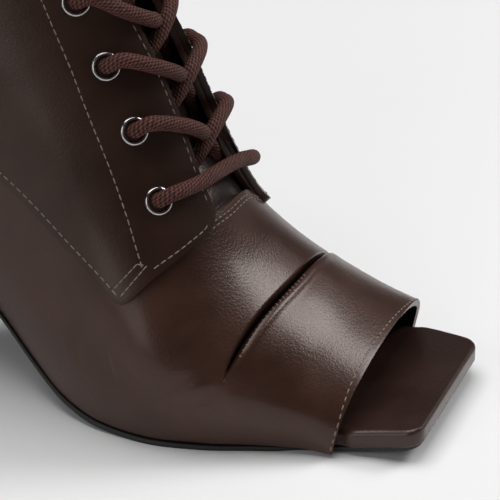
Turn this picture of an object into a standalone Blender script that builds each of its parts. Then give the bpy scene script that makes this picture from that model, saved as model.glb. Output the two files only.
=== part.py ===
"""Peep toe ankle boot, right shoe: open square toe, laced front, slim block heel.

Metres, +Z up, +X to the toe, +Y to the inner (medial) side of the foot. The origin is on the floor under
the middle of the shoe's box. The tables below hold a sample last in millimetres; the driving dimensions
grade it to the real size.
"""
import math

import bmesh
import bpy
import numpy as np

# Driving dimensions, in millimetres
LENGTH = 230.0
BALL_WIDTH = 85.6
HEEL_RISE = 80.0

# Sizes of the sample last that the tables describe
LAST_LENGTH = 230.0
LAST_BALL_WIDTH = 85.6
LAST_HEEL_RISE = 80.0

# Thickness of each layer, and the gap between neighbours
WALL = 2.0
GAP = 0.3
OVERLAY_GAP = 0.8
OVERLAY = 1.3
OUTSOLE = 1.5
SOLE_GAP = 0.5
TONGUE = 1.8
INSOLE_TOE = 5.0
INSOLE_HEEL = 2.6

# The tongue under the wall: gap at its foot, room for the lace above, and the sections between
TONGUE_GAP = 0.6
TONGUE_SUNK = 4.7
TONGUE_SINKS = (4.2, 5.4)

# Lacing
EYELET_RADIUS = 3.9
EYELET_HOLE = 2.3
EYELET_SIDES = 10
EYELET_SEAT = 0.45
EYELET_RISE = 0.7
EYELET_CROWN = 0.4
LACE_RADIUS = 2.2
LACE_STEP = 0.12
LACE_ROOM = 0.15
BAR_SHORT = 1.5

# Heel tip
TOP_PIECE = 5.0

# Where the sample last's origin lies in the shoe's own frame
CENTRE = np.array([0.57, 2.79, 0.0])
MM = 0.001

# Underside of the outsole: x along the shoe, height of the tread
TREAD = np.array([
    (-116, 80.0), (-100, 76.6), (-86, 72.8), (-72, 67.6), (-58, 60.0), (-45, 50.6), (-32, 39.4),
    (-20, 28.2), (-10, 18.6), (-3, 12.5), (4, 7.5), (11, 4.1), (17, 2.2), (24, 0.9), (32, 0.2),
    (40, 0.0), (78, 0.0), (86, 0.15), (95, 0.9), (104, 2.3), (116, 4.6),
])

# Plan of the sole: x, lateral edge, medial edge
OUTLINE = np.array([
    (-90, -24.0, 24.0), (-70, -23.6, 24.2), (-45, -21.6, 23.0), (-28, -21.4, 23.4), (-14, -23.4, 25.6),
    (0, -28.4, 30.0), (12, -34.0, 35.5), (25, -38.0, 40.5), (40, -39.4, 44.5), (55, -36.9, 46.2),
    (70, -31.6, 46.4), (85, -26.8, 45.0), (96, -24.6, 43.2), (107, -23.4, 39.0), (116, -23.0, 34.4),
])
SEAT_START = -90.0
SEAT_RADIUS = 22.0
TOE_END = 116.0
TOE_CORNER = 5.0

# Footbed: room inside the wall, shortening at the heel, and the stretches of x over which it thickens
# and steps out to the full plan
FOOTBED_ROOM = 1.6
FOOTBED_BACK = 8.1
FOOTBED_THICKENS = (20.0, 88.0)
FOOTBED_STEPS_OUT = (92.0, 97.0)

# Outsole: shortening at the heel, and how far and over which x it is set in at the toe
OUTSOLE_BACK = 0.4
OUTSOLE_INSET = 1.2
OUTSOLE_STEPS_IN = (74.0, 82.0)

# Sections of the upper from the toe opening (0) to the collar (17) and the tongue's top (18).
# Each lies in a plane from a base point, on the sole's edge or up the back seam, to a ridge point.
# On the sole, lift is the base's height over the tread and out its distance outside the sole's edge.
# Widths are the widest half widths, at a share of the section's height; full is the crown's roundness.
COLUMNS = (
    "ridge_x", "ridge_z", "ridge_y", "base_x", "lift", "out", "lateral", "lateral_at",
    "medial", "medial_at", "lateral_full", "medial_full", "spread", "rise",
)
SECTIONS = np.array([
    (96.0, 23.4, 10.0, 91.5, 0.9, 2.2, 27.6, 0.22, 45.2, 0.42, 0.60, 0.62, 0.50, 0.30),
    (85.0, 29.6, 10.0, 81.0, 2.1, 1.0, 30.6, 0.32, 47.0, 0.36, 0.58, 0.50, 0.40, 0.30),
    (71.5, 37.7, 10.0, 66.5, 2.1, -0.2, 35.8, 0.36, 48.0, 0.34, 0.56, 0.46, 0.40, 0.30),
    (58.5, 48.6, 8.0, 50.0, 2.1, -0.6, 41.0, 0.36, 47.2, 0.34, 0.53, 0.44, 0.40, 0.30),
    (50.5, 59.5, 6.0, 33.0, 2.1, -0.6, 42.5, 0.38, 44.5, 0.34, 0.50, 0.44, 0.40, 0.30),
    (44.0, 72.5, 5.0, 14.0, 2.1, -0.6, 40.0, 0.40, 40.5, 0.37, 0.52, 0.50, 0.50, 0.30),
    (37.5, 88.0, 5.0, -9.0, 2.1, -0.6, 35.5, 0.44, 36.5, 0.42, 0.54, 0.54, 0.60, 0.30),
    (31.0, 104.0, 4.5, -37.0, 2.1, -0.6, 32.5, 0.46, 33.5, 0.46, 0.56, 0.56, 0.60, 0.30),
    (25.0, 117.0, 4.0, -67.0, 2.1, -0.6, 31.0, 0.46, 32.0, 0.46, 0.56, 0.56, 0.50, 0.30),
    (19.5, 129.5, 3.5, -90.0, 2.1, -0.6, 30.5, 0.44, 31.0, 0.44, 0.56, 0.56, 0.60, 0.25),
    (16.0, 137.5, 3.0, -101.0, 2.1, -0.6, 30.0, 0.44, 30.5, 0.44, 0.56, 0.56, 0.65, 0.12),
    (13.3, 144.0, 2.6, -109.0, 2.1, -0.6, 29.6, 0.45, 30.0, 0.45, 0.56, 0.56, 0.60, 0.05),
    (11.0, 149.5, 2.4, -112.0, 2.1, 0.0, 29.3, 0.46, 29.6, 0.46, 0.56, 0.56, 0.55, 0.00),
    (8.3, 156.5, 2.2, -114.0, 0.0, 0.0, 29.2, 0.47, 29.4, 0.47, 0.56, 0.56, 0.55, 0.00),
    (4.6, 166.5, 2.0, -112.0, 0.0, 0.0, 29.5, 0.48, 29.5, 0.48, 0.56, 0.56, 0.55, 0.00),
    (0.4, 178.5, 1.6, -107.0, 0.0, 0.0, 30.5, 0.49, 30.5, 0.49, 0.56, 0.56, 0.55, 0.00),
    (-4.1, 191.5, 1.2, -104.0, 0.0, 0.0, 32.0, 0.50, 32.0, 0.50, 0.56, 0.56, 0.55, 0.00),
    (-9.0, 206.0, 0.8, -104.0, 0.0, 0.0, 33.5, 0.50, 33.5, 0.50, 0.56, 0.56, 0.55, 0.00),
    (-12.6, 217.0, 0.6, -104.5, 0.0, 0.0, 34.0, 0.50, 34.0, 0.50, 0.56, 0.56, 0.55, 0.00),
])
# Back seam, above the heel seat: section number, height
BACK_SEAM = np.array([(12, 81.2), (13, 98.0), (14, 121.0), (15, 146.0), (16, 173.0), (17, 203.0), (18, 214.0)])
COLLAR = 17.0
TONGUE_TOP = 17.8
SEAM_START = 12.0
THROAT = 4.1

# Rows of the upper's mesh; the pleat's wall is between the two rows next to PLEAT_ROW
ROWS = np.array([
    0.0, 0.4, 0.85, 1.3, 1.7, 2.0, 2.16, 2.24, 2.4, 2.75, 3.2, 3.65, 4.1, 4.45, 4.8, 5.15, 5.5, 5.8, 6.1, 6.4,
    6.7, 7.0, 7.4, 7.8, 8.3, 8.9, 9.5, 10.0, 10.5, 11.0, 11.5, 12.0, 12.5, 13.0, 13.5, 14.0, 14.6, 15.2, 15.8,
    16.4, 17.0,
])
PLEAT_ROW = 2.2
PLEAT_REACH = 1.9

# Pleat across the vamp: place around the section, section number of the fold
PLEAT = np.array([(-1.0, 2.6), (-0.45, 2.5), (-0.31, 2.38), (-0.17, 2.25), (-0.04, 2.1), (0.2, 2.13), (1.0, 2.3)])
PLEAT_LATERAL = -0.40
PLEAT_MEDIAL = 0.42
PLEAT_FADE = 0.12
PLEAT_BULGE = 1.5
PLEAT_TROUGH = 0.9

# The inner side's facing and eyelets sit lower than the outer side's by this much of a section
MEDIAL_DROP = 0.5

# Half gap between the two facings, around the section from the ridge: section number, arc length
THROAT_ARC = np.array([(4.0, 15.0), (5.0, 13.5), (6.0, 11.5), (8.0, 10.6), (18.0, 10.6)])
TONGUE_MARGIN = 9.0

# Vamp's top edge between the facings: place around the section, section number
VAMP_TOP = np.array([
    (-0.16, 4.40), (-0.13, 4.33), (-0.111, 4.24), (-0.04, 4.12), (0.076, 4.05), (0.146, 3.85), (0.2, 3.75),
])
VAMP_TOP_REACH = 1.2
VAMP_TOP_FADES = (0.2, 0.5)

# Eyelets: section number, arc length from the ridge
EYELETS = np.array([
    (5.4, 30.0), (6.44, 26.6), (7.49, 24.6), (8.79, 23.2), (11.1, 22.6), (13.4, 22.4), (14.95, 22.4), (16.2, 22.4),
])

# Lower edge of each quarter, from the facing's foot round its corner to the back seam. The inner side's
# drop fades away over DROP_FADES of that way.
DROP_FADES = (0.2, 1.0)
QUARTER_EDGE = np.array([
    # way along, section number, place around the section
    (0.00, 4.30, 0.120), (0.05, 4.16, 0.150), (0.12, 4.30, 0.210), (0.20, 4.60, 0.300), (0.28, 4.93, 0.402),
    (0.33, 5.30, 0.415), (0.42, 6.01, 0.452), (0.54, 7.04, 0.500), (0.64, 8.00, 0.530), (0.72, 9.00, 0.560),
    (0.79, 10.0, 0.590), (0.85, 11.0, 0.630), (0.91, 12.0, 0.700), (0.96, 13.0, 0.830), (1.00, 13.7, 0.985),
])


def smooth(knots, values, at):
    """Monotone cubic through a table's column: smooth, and it never overshoots the table."""
    knots, values, at = (np.asarray(a, float) for a in (knots, values, at))
    step = np.diff(knots)
    slope = np.diff(values) / step
    tangent = np.concatenate([slope[:1], np.zeros(len(knots) - 2), slope[-1:]])
    same_way = slope[:-1] * slope[1:] > 0
    before, after = 2 * step[1:] + step[:-1], step[1:] + 2 * step[:-1]
    left = np.where(same_way, slope[:-1], 1.0)
    right = np.where(same_way, slope[1:], 1.0)
    tangent[1:-1] = np.where(same_way, (before + after) / (before / left + after / right), 0.0)
    k = np.clip(np.searchsorted(knots, at, side="right") - 1, 0, len(knots) - 2)
    t = np.clip((at - knots[k]) / step[k], 0, 1)
    ends = (2 * t**3 - 3 * t**2 + 1) * values[k] + (3 * t**2 - 2 * t**3) * values[k + 1]
    return ends + step[k] * ((t**3 - 2 * t**2 + t) * tangent[k] + (t**3 - t**2) * tangent[k + 1])


def bezier(a, b, c, d, t):
    """Cubic curve from a to d, leaving towards b and arriving from c."""
    u = 1 - t
    return u**3 * a + 3 * u * u * t * b + 3 * u * t * t * c + t**3 * d


def blend(a, b, x):
    """0 before a, 1 after b, smooth between."""
    t = np.clip((np.asarray(x, float) - a) / (b - a), 0, 1)
    return t * t * (3 - 2 * t)


def tread(x):
    """Height of the outsole's underside."""
    return smooth(TREAD[:, 0], TREAD[:, 1], x) * HEEL_RISE / LAST_HEEL_RISE


def edge(x, side):
    """The sole's edge at x, on side -1 (lateral) or 1 (medial): the table, then a round heel seat."""
    column = np.where(np.asarray(side) < 0, 1, 2)
    along = np.maximum(np.asarray(x, float), SEAT_START)
    lateral = smooth(OUTLINE[:, 0], OUTLINE[:, 1], along)
    medial = smooth(OUTLINE[:, 0], OUTLINE[:, 2], along)
    seat = np.clip((SEAT_START - x) / SEAT_RADIUS, 0, 1)
    return np.where(column == 1, lateral, medial) * np.sqrt(1 - seat**2)


def grade(points):
    """Grades the sample last to the driving dimensions and moves it to the shoe's frame, in metres."""
    scale = np.array([LENGTH / LAST_LENGTH, BALL_WIDTH / LAST_BALL_WIDTH, 1.0])
    return (np.asarray(points) * scale - CENTRE) * MM


def skin(s, t):
    """Outer face of the upper at section s and place t (-1 lateral base, 0 ridge, 1 medial base), in mm.

    Each half section is two cubic curves: base to widest point, then widest point to ridge.
    """
    s, t = np.broadcast_arrays(np.asarray(s, float), np.asarray(t, float))
    c = {name: smooth(np.arange(len(SECTIONS)), SECTIONS[:, i], s) for i, name in enumerate(COLUMNS)}
    side = np.where(t < 0, -1.0, 1.0)
    wide = side * np.where(t < 0, c["lateral"], c["medial"])
    high = np.where(t < 0, c["lateral_at"], c["medial_at"])
    full = np.where(t < 0, c["lateral_full"], c["medial_full"])
    base = np.where(s < SEAM_START, edge(c["base_x"], side) + side * c["out"], 0.0)
    way = 1 - np.abs(t)
    low = np.clip(way / 0.5, 0, 1)
    top = np.clip((way - 0.5) / 0.5, 0, 1)
    ridge = c["ridge_y"]
    seam = smooth(BACK_SEAM[:, 0], BACK_SEAM[:, 1], s)
    base_z = np.where(s < SEAM_START, tread(c["base_x"]) + c["lift"], seam)
    y_low = bezier(base, base + c["spread"] * (wide - base), wide, wide, low)
    y_top = bezier(wide, wide, ridge + full * (wide - ridge), ridge, top)
    v_low = bezier(0, c["rise"] * high, 0.5 * high, high, low)
    v_top = bezier(high, high + full * (1 - high), 1, 1, top)
    y = np.where(way < 0.5, y_low, y_top)
    v = np.where(way < 0.5, v_low, v_top)
    x = c["base_x"] + v * (c["ridge_x"] - c["base_x"])
    z = base_z + v * (c["ridge_z"] - base_z)
    return np.stack([x, y, z], -1)


def outward(s, t):
    """Unit normal of the skin, pointing out, from small steps of s and t."""
    ds, dt = 0.02, 0.004
    along = skin(np.minimum(s + ds, len(SECTIONS) - 1.0), t) - skin(np.maximum(s - ds, 0.0), t)
    around = skin(s, np.minimum(t + dt, 1.0)) - skin(s, np.maximum(t - dt, -1.0))
    normal = np.cross(around, along)
    return normal / np.maximum(np.linalg.norm(normal, axis=-1, keepdims=True), 1e-9)


def offset(s, t, lift):
    """The skin moved out by lift, or in where lift is negative."""
    s, t = np.broadcast_arrays(np.asarray(s, float), np.asarray(t, float))
    return skin(s, t) + np.asarray(lift)[..., None] * outward(s, t)


def at_arc(s, arc):
    """Place t where the way round section s from the ridge is arc long (negative: lateral)."""
    steps = np.linspace(0, 1, 161)
    found = []
    for section, length in zip(np.atleast_1d(s), np.broadcast_to(arc, np.shape(np.atleast_1d(s)))):
        line = skin(section, steps * math.copysign(1, length))
        way = np.concatenate([[0], np.cumsum(np.linalg.norm(np.diff(line, axis=0), axis=1))])
        found.append(math.copysign(np.interp(abs(length), way, steps), length))
    return np.array(found)


def drop(side):
    """How much lower a side's facing and eyelets sit, in sections."""
    return MEDIAL_DROP if side > 0 else 0.0


def throat(s, side, margin=0.0):
    """Place t of the facing's front edge at section s, or margin millimetres behind it."""
    arc = smooth(THROAT_ARC[:, 0], THROAT_ARC[:, 1], np.asarray(s) + drop(side)) + margin
    return at_arc(s, side * arc)


def pleat_depth(s, t):
    """Height of the vamp's pleat: a bulge that ends in a step, with a shallow trough behind it."""
    fold = smooth(PLEAT[:, 0], PLEAT[:, 1], t)
    away = s - fold
    fade = blend(PLEAT_LATERAL - PLEAT_FADE, PLEAT_LATERAL + PLEAT_FADE, t)
    fade = fade * (1 - blend(PLEAT_MEDIAL - PLEAT_FADE, PLEAT_MEDIAL + PLEAT_FADE, t))
    bulge = PLEAT_BULGE * blend(-1.6, -0.1, away)
    trough = -PLEAT_TROUGH * (1 - blend(0.05, 0.7, away))
    return fade * np.where(away < 0, bulge, trough)


def material(name, colour, roughness, metallic=0.0):
    """A plain surface in the part's own colour."""
    made = bpy.data.materials.new(name)
    made.use_nodes = True
    shader = made.node_tree.nodes["Principled BSDF"]
    shader.inputs["Base Color"].default_value = (*colour, 1.0)
    shader.inputs["Roughness"].default_value = roughness
    shader.inputs["Metallic"].default_value = metallic
    return made


def add(name, points, faces, surface, merge=0.00002):
    """An object from points in the shoe's frame and faces; doubles are merged and normals point out."""
    mesh = bpy.data.meshes.new(name)
    mesh.from_pydata([tuple(p) for p in points], [], faces)
    body = bmesh.new()
    body.from_mesh(mesh)
    bmesh.ops.remove_doubles(body, verts=body.verts, dist=merge)
    bmesh.ops.dissolve_degenerate(body, edges=body.edges, dist=merge)
    bmesh.ops.delete(body, geom=[v for v in body.verts if not v.link_faces], context="VERTS")
    bmesh.ops.recalc_face_normals(body, faces=body.faces)
    body.to_mesh(mesh)
    body.free()
    mesh.shade_smooth()
    mesh.set_sharp_from_angle(angle=math.radians(40))
    piece = bpy.data.objects.new(name, mesh)
    parts.objects.link(piece)
    mesh.materials.append(surface)
    return piece


def closed_shell(name, inner, outer, surface, keep=None, joined=None):
    """A sheet with two faces, given as grids of points, and a rim wherever its cells end.

    keep is a mask of the cells to make, and joined a mask of the rows whose two ends are one point.
    """
    rows, columns = inner.shape[:2]
    count = rows * columns
    number = np.arange(count).reshape(rows, columns)
    if joined is not None:
        number[joined, -1] = number[joined, 0]
    cells = np.stack([number[:-1, :-1], number[:-1, 1:], number[1:, 1:], number[1:, :-1]], -1)
    lower = (cells[keep] if keep is not None else cells.reshape(-1, 4)).tolist()
    upper = [[v + count for v in reversed(face)] for face in lower]
    edges = {}
    for face in lower:
        for a, b in zip(face, face[1:] + face[:1]):
            edges[(a, b)] = True
    rim = [[b, a, a + count, b + count] for a, b in edges if (b, a) not in edges]
    points = grade(np.concatenate([inner.reshape(-1, 3), outer.reshape(-1, 3)]))
    return add(name, points, lower + upper + rim, surface)


def make_upper(surface):
    """Vamp, back and shaft as one hollow wall, open at toe, throat and collar and underneath."""
    sides = np.array([0, 0.045, 0.1, 0.165, 0.24, 0.33, 0.44, 0.56, 0.68, 0.79, 0.9, 1.0])
    half_side, half_throat = len(sides) - 1, 2
    s = np.broadcast_to(ROWS[:, None], (len(ROWS), 2 * (half_side + half_throat) + 1))
    lateral = throat(ROWS, -1.0)
    medial = throat(ROWS, 1.0)
    left = -1 + (lateral[:, None] + 1) * sides
    right = 1 - (1 - medial[:, None]) * sides[::-1]
    middle = lateral[:, None] + (medial - lateral)[:, None] * np.linspace(0, 1, 2 * half_throat + 1)
    t = np.concatenate([left, middle[:, 1:-1], right], axis=1)
    near_pleat = np.clip(1 - np.abs(s - PLEAT_ROW) / PLEAT_REACH, 0, 1)
    near_top = np.clip(1 - np.abs(s - THROAT) / VAMP_TOP_REACH, 0, 1) * (1 - blend(*VAMP_TOP_FADES, np.abs(t)))
    s = s + (smooth(PLEAT[:, 0], PLEAT[:, 1], t) - PLEAT_ROW) * near_pleat
    s = s + (smooth(VAMP_TOP[:, 0], VAMP_TOP[:, 1], t) - THROAT) * near_top
    relief = pleat_depth(s, t)
    outer = offset(s, t, relief)
    inner = offset(s, t, np.minimum(relief, 0) * 0.4 - WALL)
    for column in (0, -1):
        inner[:, column, 2] = outer[:, column, 2]
        inner[:, column, 1] = outer[:, column, 1] - np.sign(outer[:, column, 1]) * WALL
    joined = ROWS >= SEAM_START
    for face in (inner, outer):
        face[joined, 0] = (face[joined, 0] + face[joined, -1]) / 2
    cells = np.ones((s.shape[0] - 1, s.shape[1] - 1), bool)
    cells[ROWS[:-1] >= THROAT, half_side:half_side + 2 * half_throat] = False
    return closed_shell("upper", inner, outer, surface, cells, joined)


def make_quarter(name, side, surface):
    """A quarter with its facing, laid over the upper from the facing's edge to the back seam."""
    along = np.concatenate([np.linspace(0, 0.28, 6), np.linspace(0.34, 0.9, 9), [0.925, 0.95, 0.97, 0.985, 1.0]])
    up = np.linspace(0, 1, 19)
    edge_s = smooth(QUARTER_EDGE[:, 0], QUARTER_EDGE[:, 1], along) - drop(side) * (1 - blend(*DROP_FADES, along))
    edge_t = smooth(QUARTER_EDGE[:, 0], QUARTER_EDGE[:, 2], along)
    collar_t = throat(COLLAR, side)[0] * side
    share = blend(0.0, 1.0, along) * 0.5 + along * 0.5
    top_t = collar_t + (edge_t[-1] - collar_t) * share
    s = edge_s[None, :] + (COLLAR - edge_s[None, :]) * up[:, None]
    t = edge_t[None, :] + (top_t - edge_t)[None, :] * up[:, None]
    t[:, 0] = np.abs(throat(s[:, 0], side))
    inner = offset(s, side * t, OVERLAY_GAP)
    outer = offset(s, side * t, OVERLAY_GAP + OVERLAY)
    return closed_shell(name, inner, outer, surface)


def make_tongue(surface):
    """The tongue, under the facings and the wall, from behind the vamp's edge to above the collar."""
    s = np.array([3.9, 4.3, 4.8, 5.4, 6.1, 6.9, 7.8, 8.8, 10.0, 11.3, 12.7, 14.0, 15.2, 16.3, 17.1, TONGUE_TOP])
    across = np.linspace(-1, 1, 9)
    left = throat(s, -1.0, TONGUE_MARGIN)
    right = throat(s, 1.0, TONGUE_MARGIN)
    t = np.where(across < 0, -left[:, None] * across, right[:, None] * across)
    rows = np.broadcast_to(s[:, None], t.shape)
    depth = WALL + TONGUE_GAP + (TONGUE_SUNK - TONGUE_GAP) * blend(*TONGUE_SINKS, rows)
    outer = offset(rows, t, -depth)
    inner = offset(rows, t, -depth - TONGUE)
    return closed_shell("tongue", inner, outer, surface)


def plan_points(x_start, x_end, count, inset):
    """Cross lines of a sole plan: x, lateral y and medial y, with a round heel and rounded toe corners."""
    bend = 0.5 - 0.5 * np.cos(np.linspace(0, math.pi, count))
    x = x_start + (x_end - x_start) * bend
    corner = 1 - np.sqrt(np.clip(1 - np.clip((x - (x_end - TOE_CORNER)) / TOE_CORNER, 0, 1) ** 2, 0, 1))
    lateral = edge(x, -1.0) + inset(x) + TOE_CORNER * corner
    medial = edge(x, 1.0) - inset(x) - TOE_CORNER * corner
    return x, lateral, medial


def sole_layer(name, x, lateral, medial, low, high, surface):
    """A closed layer between two heights that follow the sole: low and high are functions of x."""
    across = np.array([0, 0.05, 0.5, 0.95, 1.0])
    y = lateral[:, None] + (medial - lateral)[:, None] * across
    xs = np.broadcast_to(x[:, None], y.shape)
    bottom = np.stack([xs, y, low(xs)], -1)
    top = np.stack([xs, y, high(xs)], -1)
    return closed_shell(name, bottom, top, surface)


def make_outsole(surface):
    """Thin outsole with the true plan, set in under the toe platform."""
    start = SEAT_START - SEAT_RADIUS + OUTSOLE_BACK

    def inset(x):
        return OUTSOLE_INSET * blend(*OUTSOLE_STEPS_IN, x)

    x, lateral, medial = plan_points(start, TOE_END - OUTSOLE_INSET, 48, inset)
    return sole_layer("outsole", x, lateral, medial, tread, lambda x: tread(x) + OUTSOLE, surface)


def base_offset(x):
    """How far the upper's foot stands outside the sole's edge at x."""
    first = SECTIONS[:12][::-1]
    return smooth(first[:, 3], first[:, 5], x)


def insole_top(x):
    """Height of the footbed: a thick platform at the toe, thin under the heel."""
    thick = INSOLE_HEEL + (INSOLE_TOE - INSOLE_HEEL) * blend(*FOOTBED_THICKENS, x)
    return tread(x) + OUTSOLE + SOLE_GAP + thick


def make_insole(surface):
    """Leather covered footbed, inside the upper's wall and out to the full plan at the toe."""
    start = SEAT_START - SEAT_RADIUS + FOOTBED_BACK

    def inset(x):
        return (WALL + FOOTBED_ROOM - base_offset(x)) * (1 - blend(*FOOTBED_STEPS_OUT, x))

    x, lateral, medial = plan_points(start, TOE_END, 46, inset)
    return sole_layer("insole", x, lateral, medial, lambda x: tread(x) + OUTSOLE + SOLE_GAP, insole_top, surface)


# Heel: share of height, front x, back x, half width
HEEL_SECTIONS = np.array([
    (0.0, -83.0, -108.0, 13.5), (0.35, -81.0, -108.6, 14.0), (0.7, -74.5, -109.6, 17.0),
    (0.88, -68.5, -110.4, 20.2), (1.0, -64.0, -111.0, 22.4),
])
HEEL_SIDES = 20


def heel_ring(share, grow=0.0):
    """Outline of the heel at a share of its height: a rounded block, straight in front."""
    turn = np.linspace(0, 2 * math.pi, HEEL_SIDES, endpoint=False) + math.pi / HEEL_SIDES
    front = smooth(HEEL_SECTIONS[:, 0], HEEL_SECTIONS[:, 1], share) + grow
    back = smooth(HEEL_SECTIONS[:, 0], HEEL_SECTIONS[:, 2], share) - grow
    half = smooth(HEEL_SECTIONS[:, 0], HEEL_SECTIONS[:, 3], share) + grow
    power = np.where(np.cos(turn) > 0, 0.34, 0.72)
    x = (front + back) / 2 + (front - back) / 2 * np.sign(np.cos(turn)) * np.abs(np.cos(turn)) ** power
    y = half * np.sign(np.sin(turn)) * np.abs(np.sin(turn)) ** power
    return x, y


def make_heel(surface):
    """Covered block heel whose seat follows the outsole."""
    rows = []
    foot = TOP_PIECE + GAP
    for share in (0.0, 0.2, 0.4, 0.6, 0.75, 0.88, 1.0):
        x, y = heel_ring(share)
        seat = tread(x) - GAP
        rows.append(np.stack([x, y, foot + share * (seat - foot)], -1))
    low = rows[0]
    high = rows[-1]
    caps_low = [low.mean(0) + (low - low.mean(0)) * k for k in (0.0, 0.5)]
    caps_high = []
    for k in (0.66, 0.33, 0.0):
        spread = high.mean(0) + (high - high.mean(0)) * k
        spread[:, 2] = tread(spread[:, 0]) - GAP
        caps_high.append(spread)
    return tube_of_rings("heel", caps_low + rows + caps_high, surface)


def tube_of_rings(name, rings, surface):
    """A closed surface through rings whose first and last are single points drawn as rings."""
    sides = len(rings[0])
    points = np.concatenate(rings)
    faces = []
    for i in range(len(rings) - 1):
        for j in range(sides):
            k = (j + 1) % sides
            faces.append([i * sides + j, i * sides + k, (i + 1) * sides + k, (i + 1) * sides + j])
    return add(name, grade(points), faces, surface)


def make_top_piece(surface):
    """Hard rubber tip that meets the floor."""
    x, y = heel_ring(0.0)
    rows = [np.stack([x, y, np.full_like(x, z)], -1) for z in (0.0, TOP_PIECE)]
    low = [rows[0].mean(0) + (rows[0] - rows[0].mean(0)) * k for k in (0.0, 0.5)]
    high = [rows[1].mean(0) + (rows[1] - rows[1].mean(0)) * k for k in (0.5, 0.0)]
    return tube_of_rings("heel_top_piece", low + rows + high, surface)


def eyelet_place(index, side):
    """Centre on the facing's outer face, outward normal and along-shaft direction of an eyelet."""
    s, arc = EYELETS[index]
    s = s - drop(side)
    t = at_arc(s, side * arc)[0]
    centre = offset(s, t, OVERLAY_GAP + OVERLAY)
    normal = outward(np.array(s), np.array(t))
    upward = skin(s + 0.1, t) - skin(s - 0.1, t)
    upward = upward - normal * (upward @ normal)
    return centre, normal, upward / np.linalg.norm(upward)


def make_eyelet(name, index, side, surface):
    """A rolled metal ring on the facing."""
    centre, normal, upward = eyelet_place(index, side)
    across = np.cross(upward, normal)
    turn = np.linspace(0, 2 * math.pi, EYELET_SIDES, endpoint=False)
    crown = (EYELET_RADIUS + EYELET_HOLE) / 2
    high_side = EYELET_SEAT + EYELET_RISE
    # profile: radius, height over the facing
    profile = [
        (EYELET_HOLE, EYELET_SEAT), (EYELET_RADIUS, EYELET_SEAT),
        (crown + EYELET_CROWN, high_side), (crown - EYELET_CROWN, high_side),
    ]
    rings = [
        centre + radius * (np.cos(turn)[:, None] * across + np.sin(turn)[:, None] * upward) + high * normal
        for radius, high in profile
    ]
    sides = len(turn)
    faces = []
    for i in range(len(rings)):
        for j in range(sides):
            k, n = (j + 1) % sides, (i + 1) % len(rings)
            faces.append([i * sides + j, i * sides + k, n * sides + k, n * sides + j])
    return add(name, grade(np.concatenate(rings)), faces, surface)


def lace_line(start, end):
    """Middle of a lace strand from one eyelet's rim to another's, (section, signed arc), over the facings."""
    way = np.linspace(0, 1, 7)
    s = start[0] + (end[0] - start[0]) * way
    arc = start[1] + (end[1] - start[1]) * way
    t = at_arc(s, arc)
    lift = OVERLAY_GAP + OVERLAY + EYELET_SEAT + EYELET_RISE + GAP + LACE_RADIUS
    return grade(offset(s, t, lift))


def lace_tube(name, points, surface):
    """A round strand as a mesh, made from a bevelled curve with closed ends."""
    curve = bpy.data.curves.new(name, "CURVE")
    curve.dimensions = "3D"
    curve.bevel_depth = LACE_RADIUS * MM
    curve.bevel_resolution = 1
    curve.use_fill_caps = True
    spline = curve.splines.new("POLY")
    spline.points.add(len(points) - 1)
    for point, place in zip(spline.points, points):
        point.co = (*place, 1.0)
    wire = bpy.data.objects.new(name + "_line", curve)
    bpy.context.scene.collection.objects.link(wire)
    shape = wire.evaluated_get(bpy.context.evaluated_depsgraph_get())
    mesh = bpy.data.meshes.new_from_object(shape)
    bpy.data.objects.remove(wire, do_unlink=True)
    body = bmesh.new()
    body.from_mesh(mesh)
    bmesh.ops.remove_doubles(body, verts=body.verts, dist=0.00002)
    body.to_mesh(mesh)
    body.free()
    mesh.materials.clear()
    mesh.materials.append(surface)
    mesh.shade_smooth()
    return bpy.data.objects.new(name, mesh)


def make_lace_bar(surface):
    """The straight bar across the lowest eyelets."""
    s, arc = EYELETS[0]
    start = s - LACE_STEP
    reach = arc - BAR_SHORT
    bar = lace_tube("lace_bar", lace_line((start, -reach), (start - MEDIAL_DROP, reach)), surface)
    parts.objects.link(bar)


def make_lace_crossing(index, surface):
    """Two strands that cross between one pair of eyelets and the next, joined where they meet."""
    (low, low_arc), (high, high_arc) = EYELETS[index], EYELETS[index + 1]
    room = LACE_ROOM * (high - low)
    start, end = low + room, high - room
    name = f"lace_crossing_{index + 1}"
    first = lace_tube(name, lace_line((start, -low_arc), (end - MEDIAL_DROP, high_arc)), surface)
    second = lace_tube(name + "_other", lace_line((start - MEDIAL_DROP, low_arc), (end, -high_arc)), surface)
    parts.objects.link(first)
    cutters.objects.link(second)
    second.hide_render = True
    second.display_type = "WIRE"
    joint = first.modifiers.new("joined where they cross", "BOOLEAN")
    joint.operation = "UNION"
    joint.object = second


def clear_parts():
    """Empties the scene."""
    for thing in list(bpy.data.objects):
        bpy.data.objects.remove(thing, do_unlink=True)


clear_parts()
parts = bpy.data.collections.new("peep_toe_ankle_boot")
cutters = bpy.data.collections.new("cutters")
bpy.context.scene.collection.children.link(parts)
bpy.context.scene.collection.children.link(cutters)

leather = material("brown_leather", (0.030, 0.017, 0.013), 0.36)
lining = material("lining_leather", (0.035, 0.020, 0.015), 0.45)
sole = material("sole_rubber", (0.010, 0.009, 0.009), 0.6)
metal = material("eyelet_metal", (0.55, 0.55, 0.56), 0.22, 1.0)
cord = material("lace_cotton", (0.085, 0.030, 0.025), 0.85)

make_upper(leather)
make_quarter("quarter_lateral", -1.0, leather)
make_quarter("quarter_medial", 1.0, leather)
make_tongue(leather)
make_insole(lining)
make_outsole(sole)
make_heel(leather)
make_top_piece(sole)
for number in range(len(EYELETS)):
    make_eyelet(f"eyelet_lateral_{number + 1}", number, -1.0, metal)
    make_eyelet(f"eyelet_medial_{number + 1}", number, 1.0, metal)
make_lace_bar(cord)
for number in range(len(EYELETS) - 1):
    make_lace_crossing(number, cord)
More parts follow.
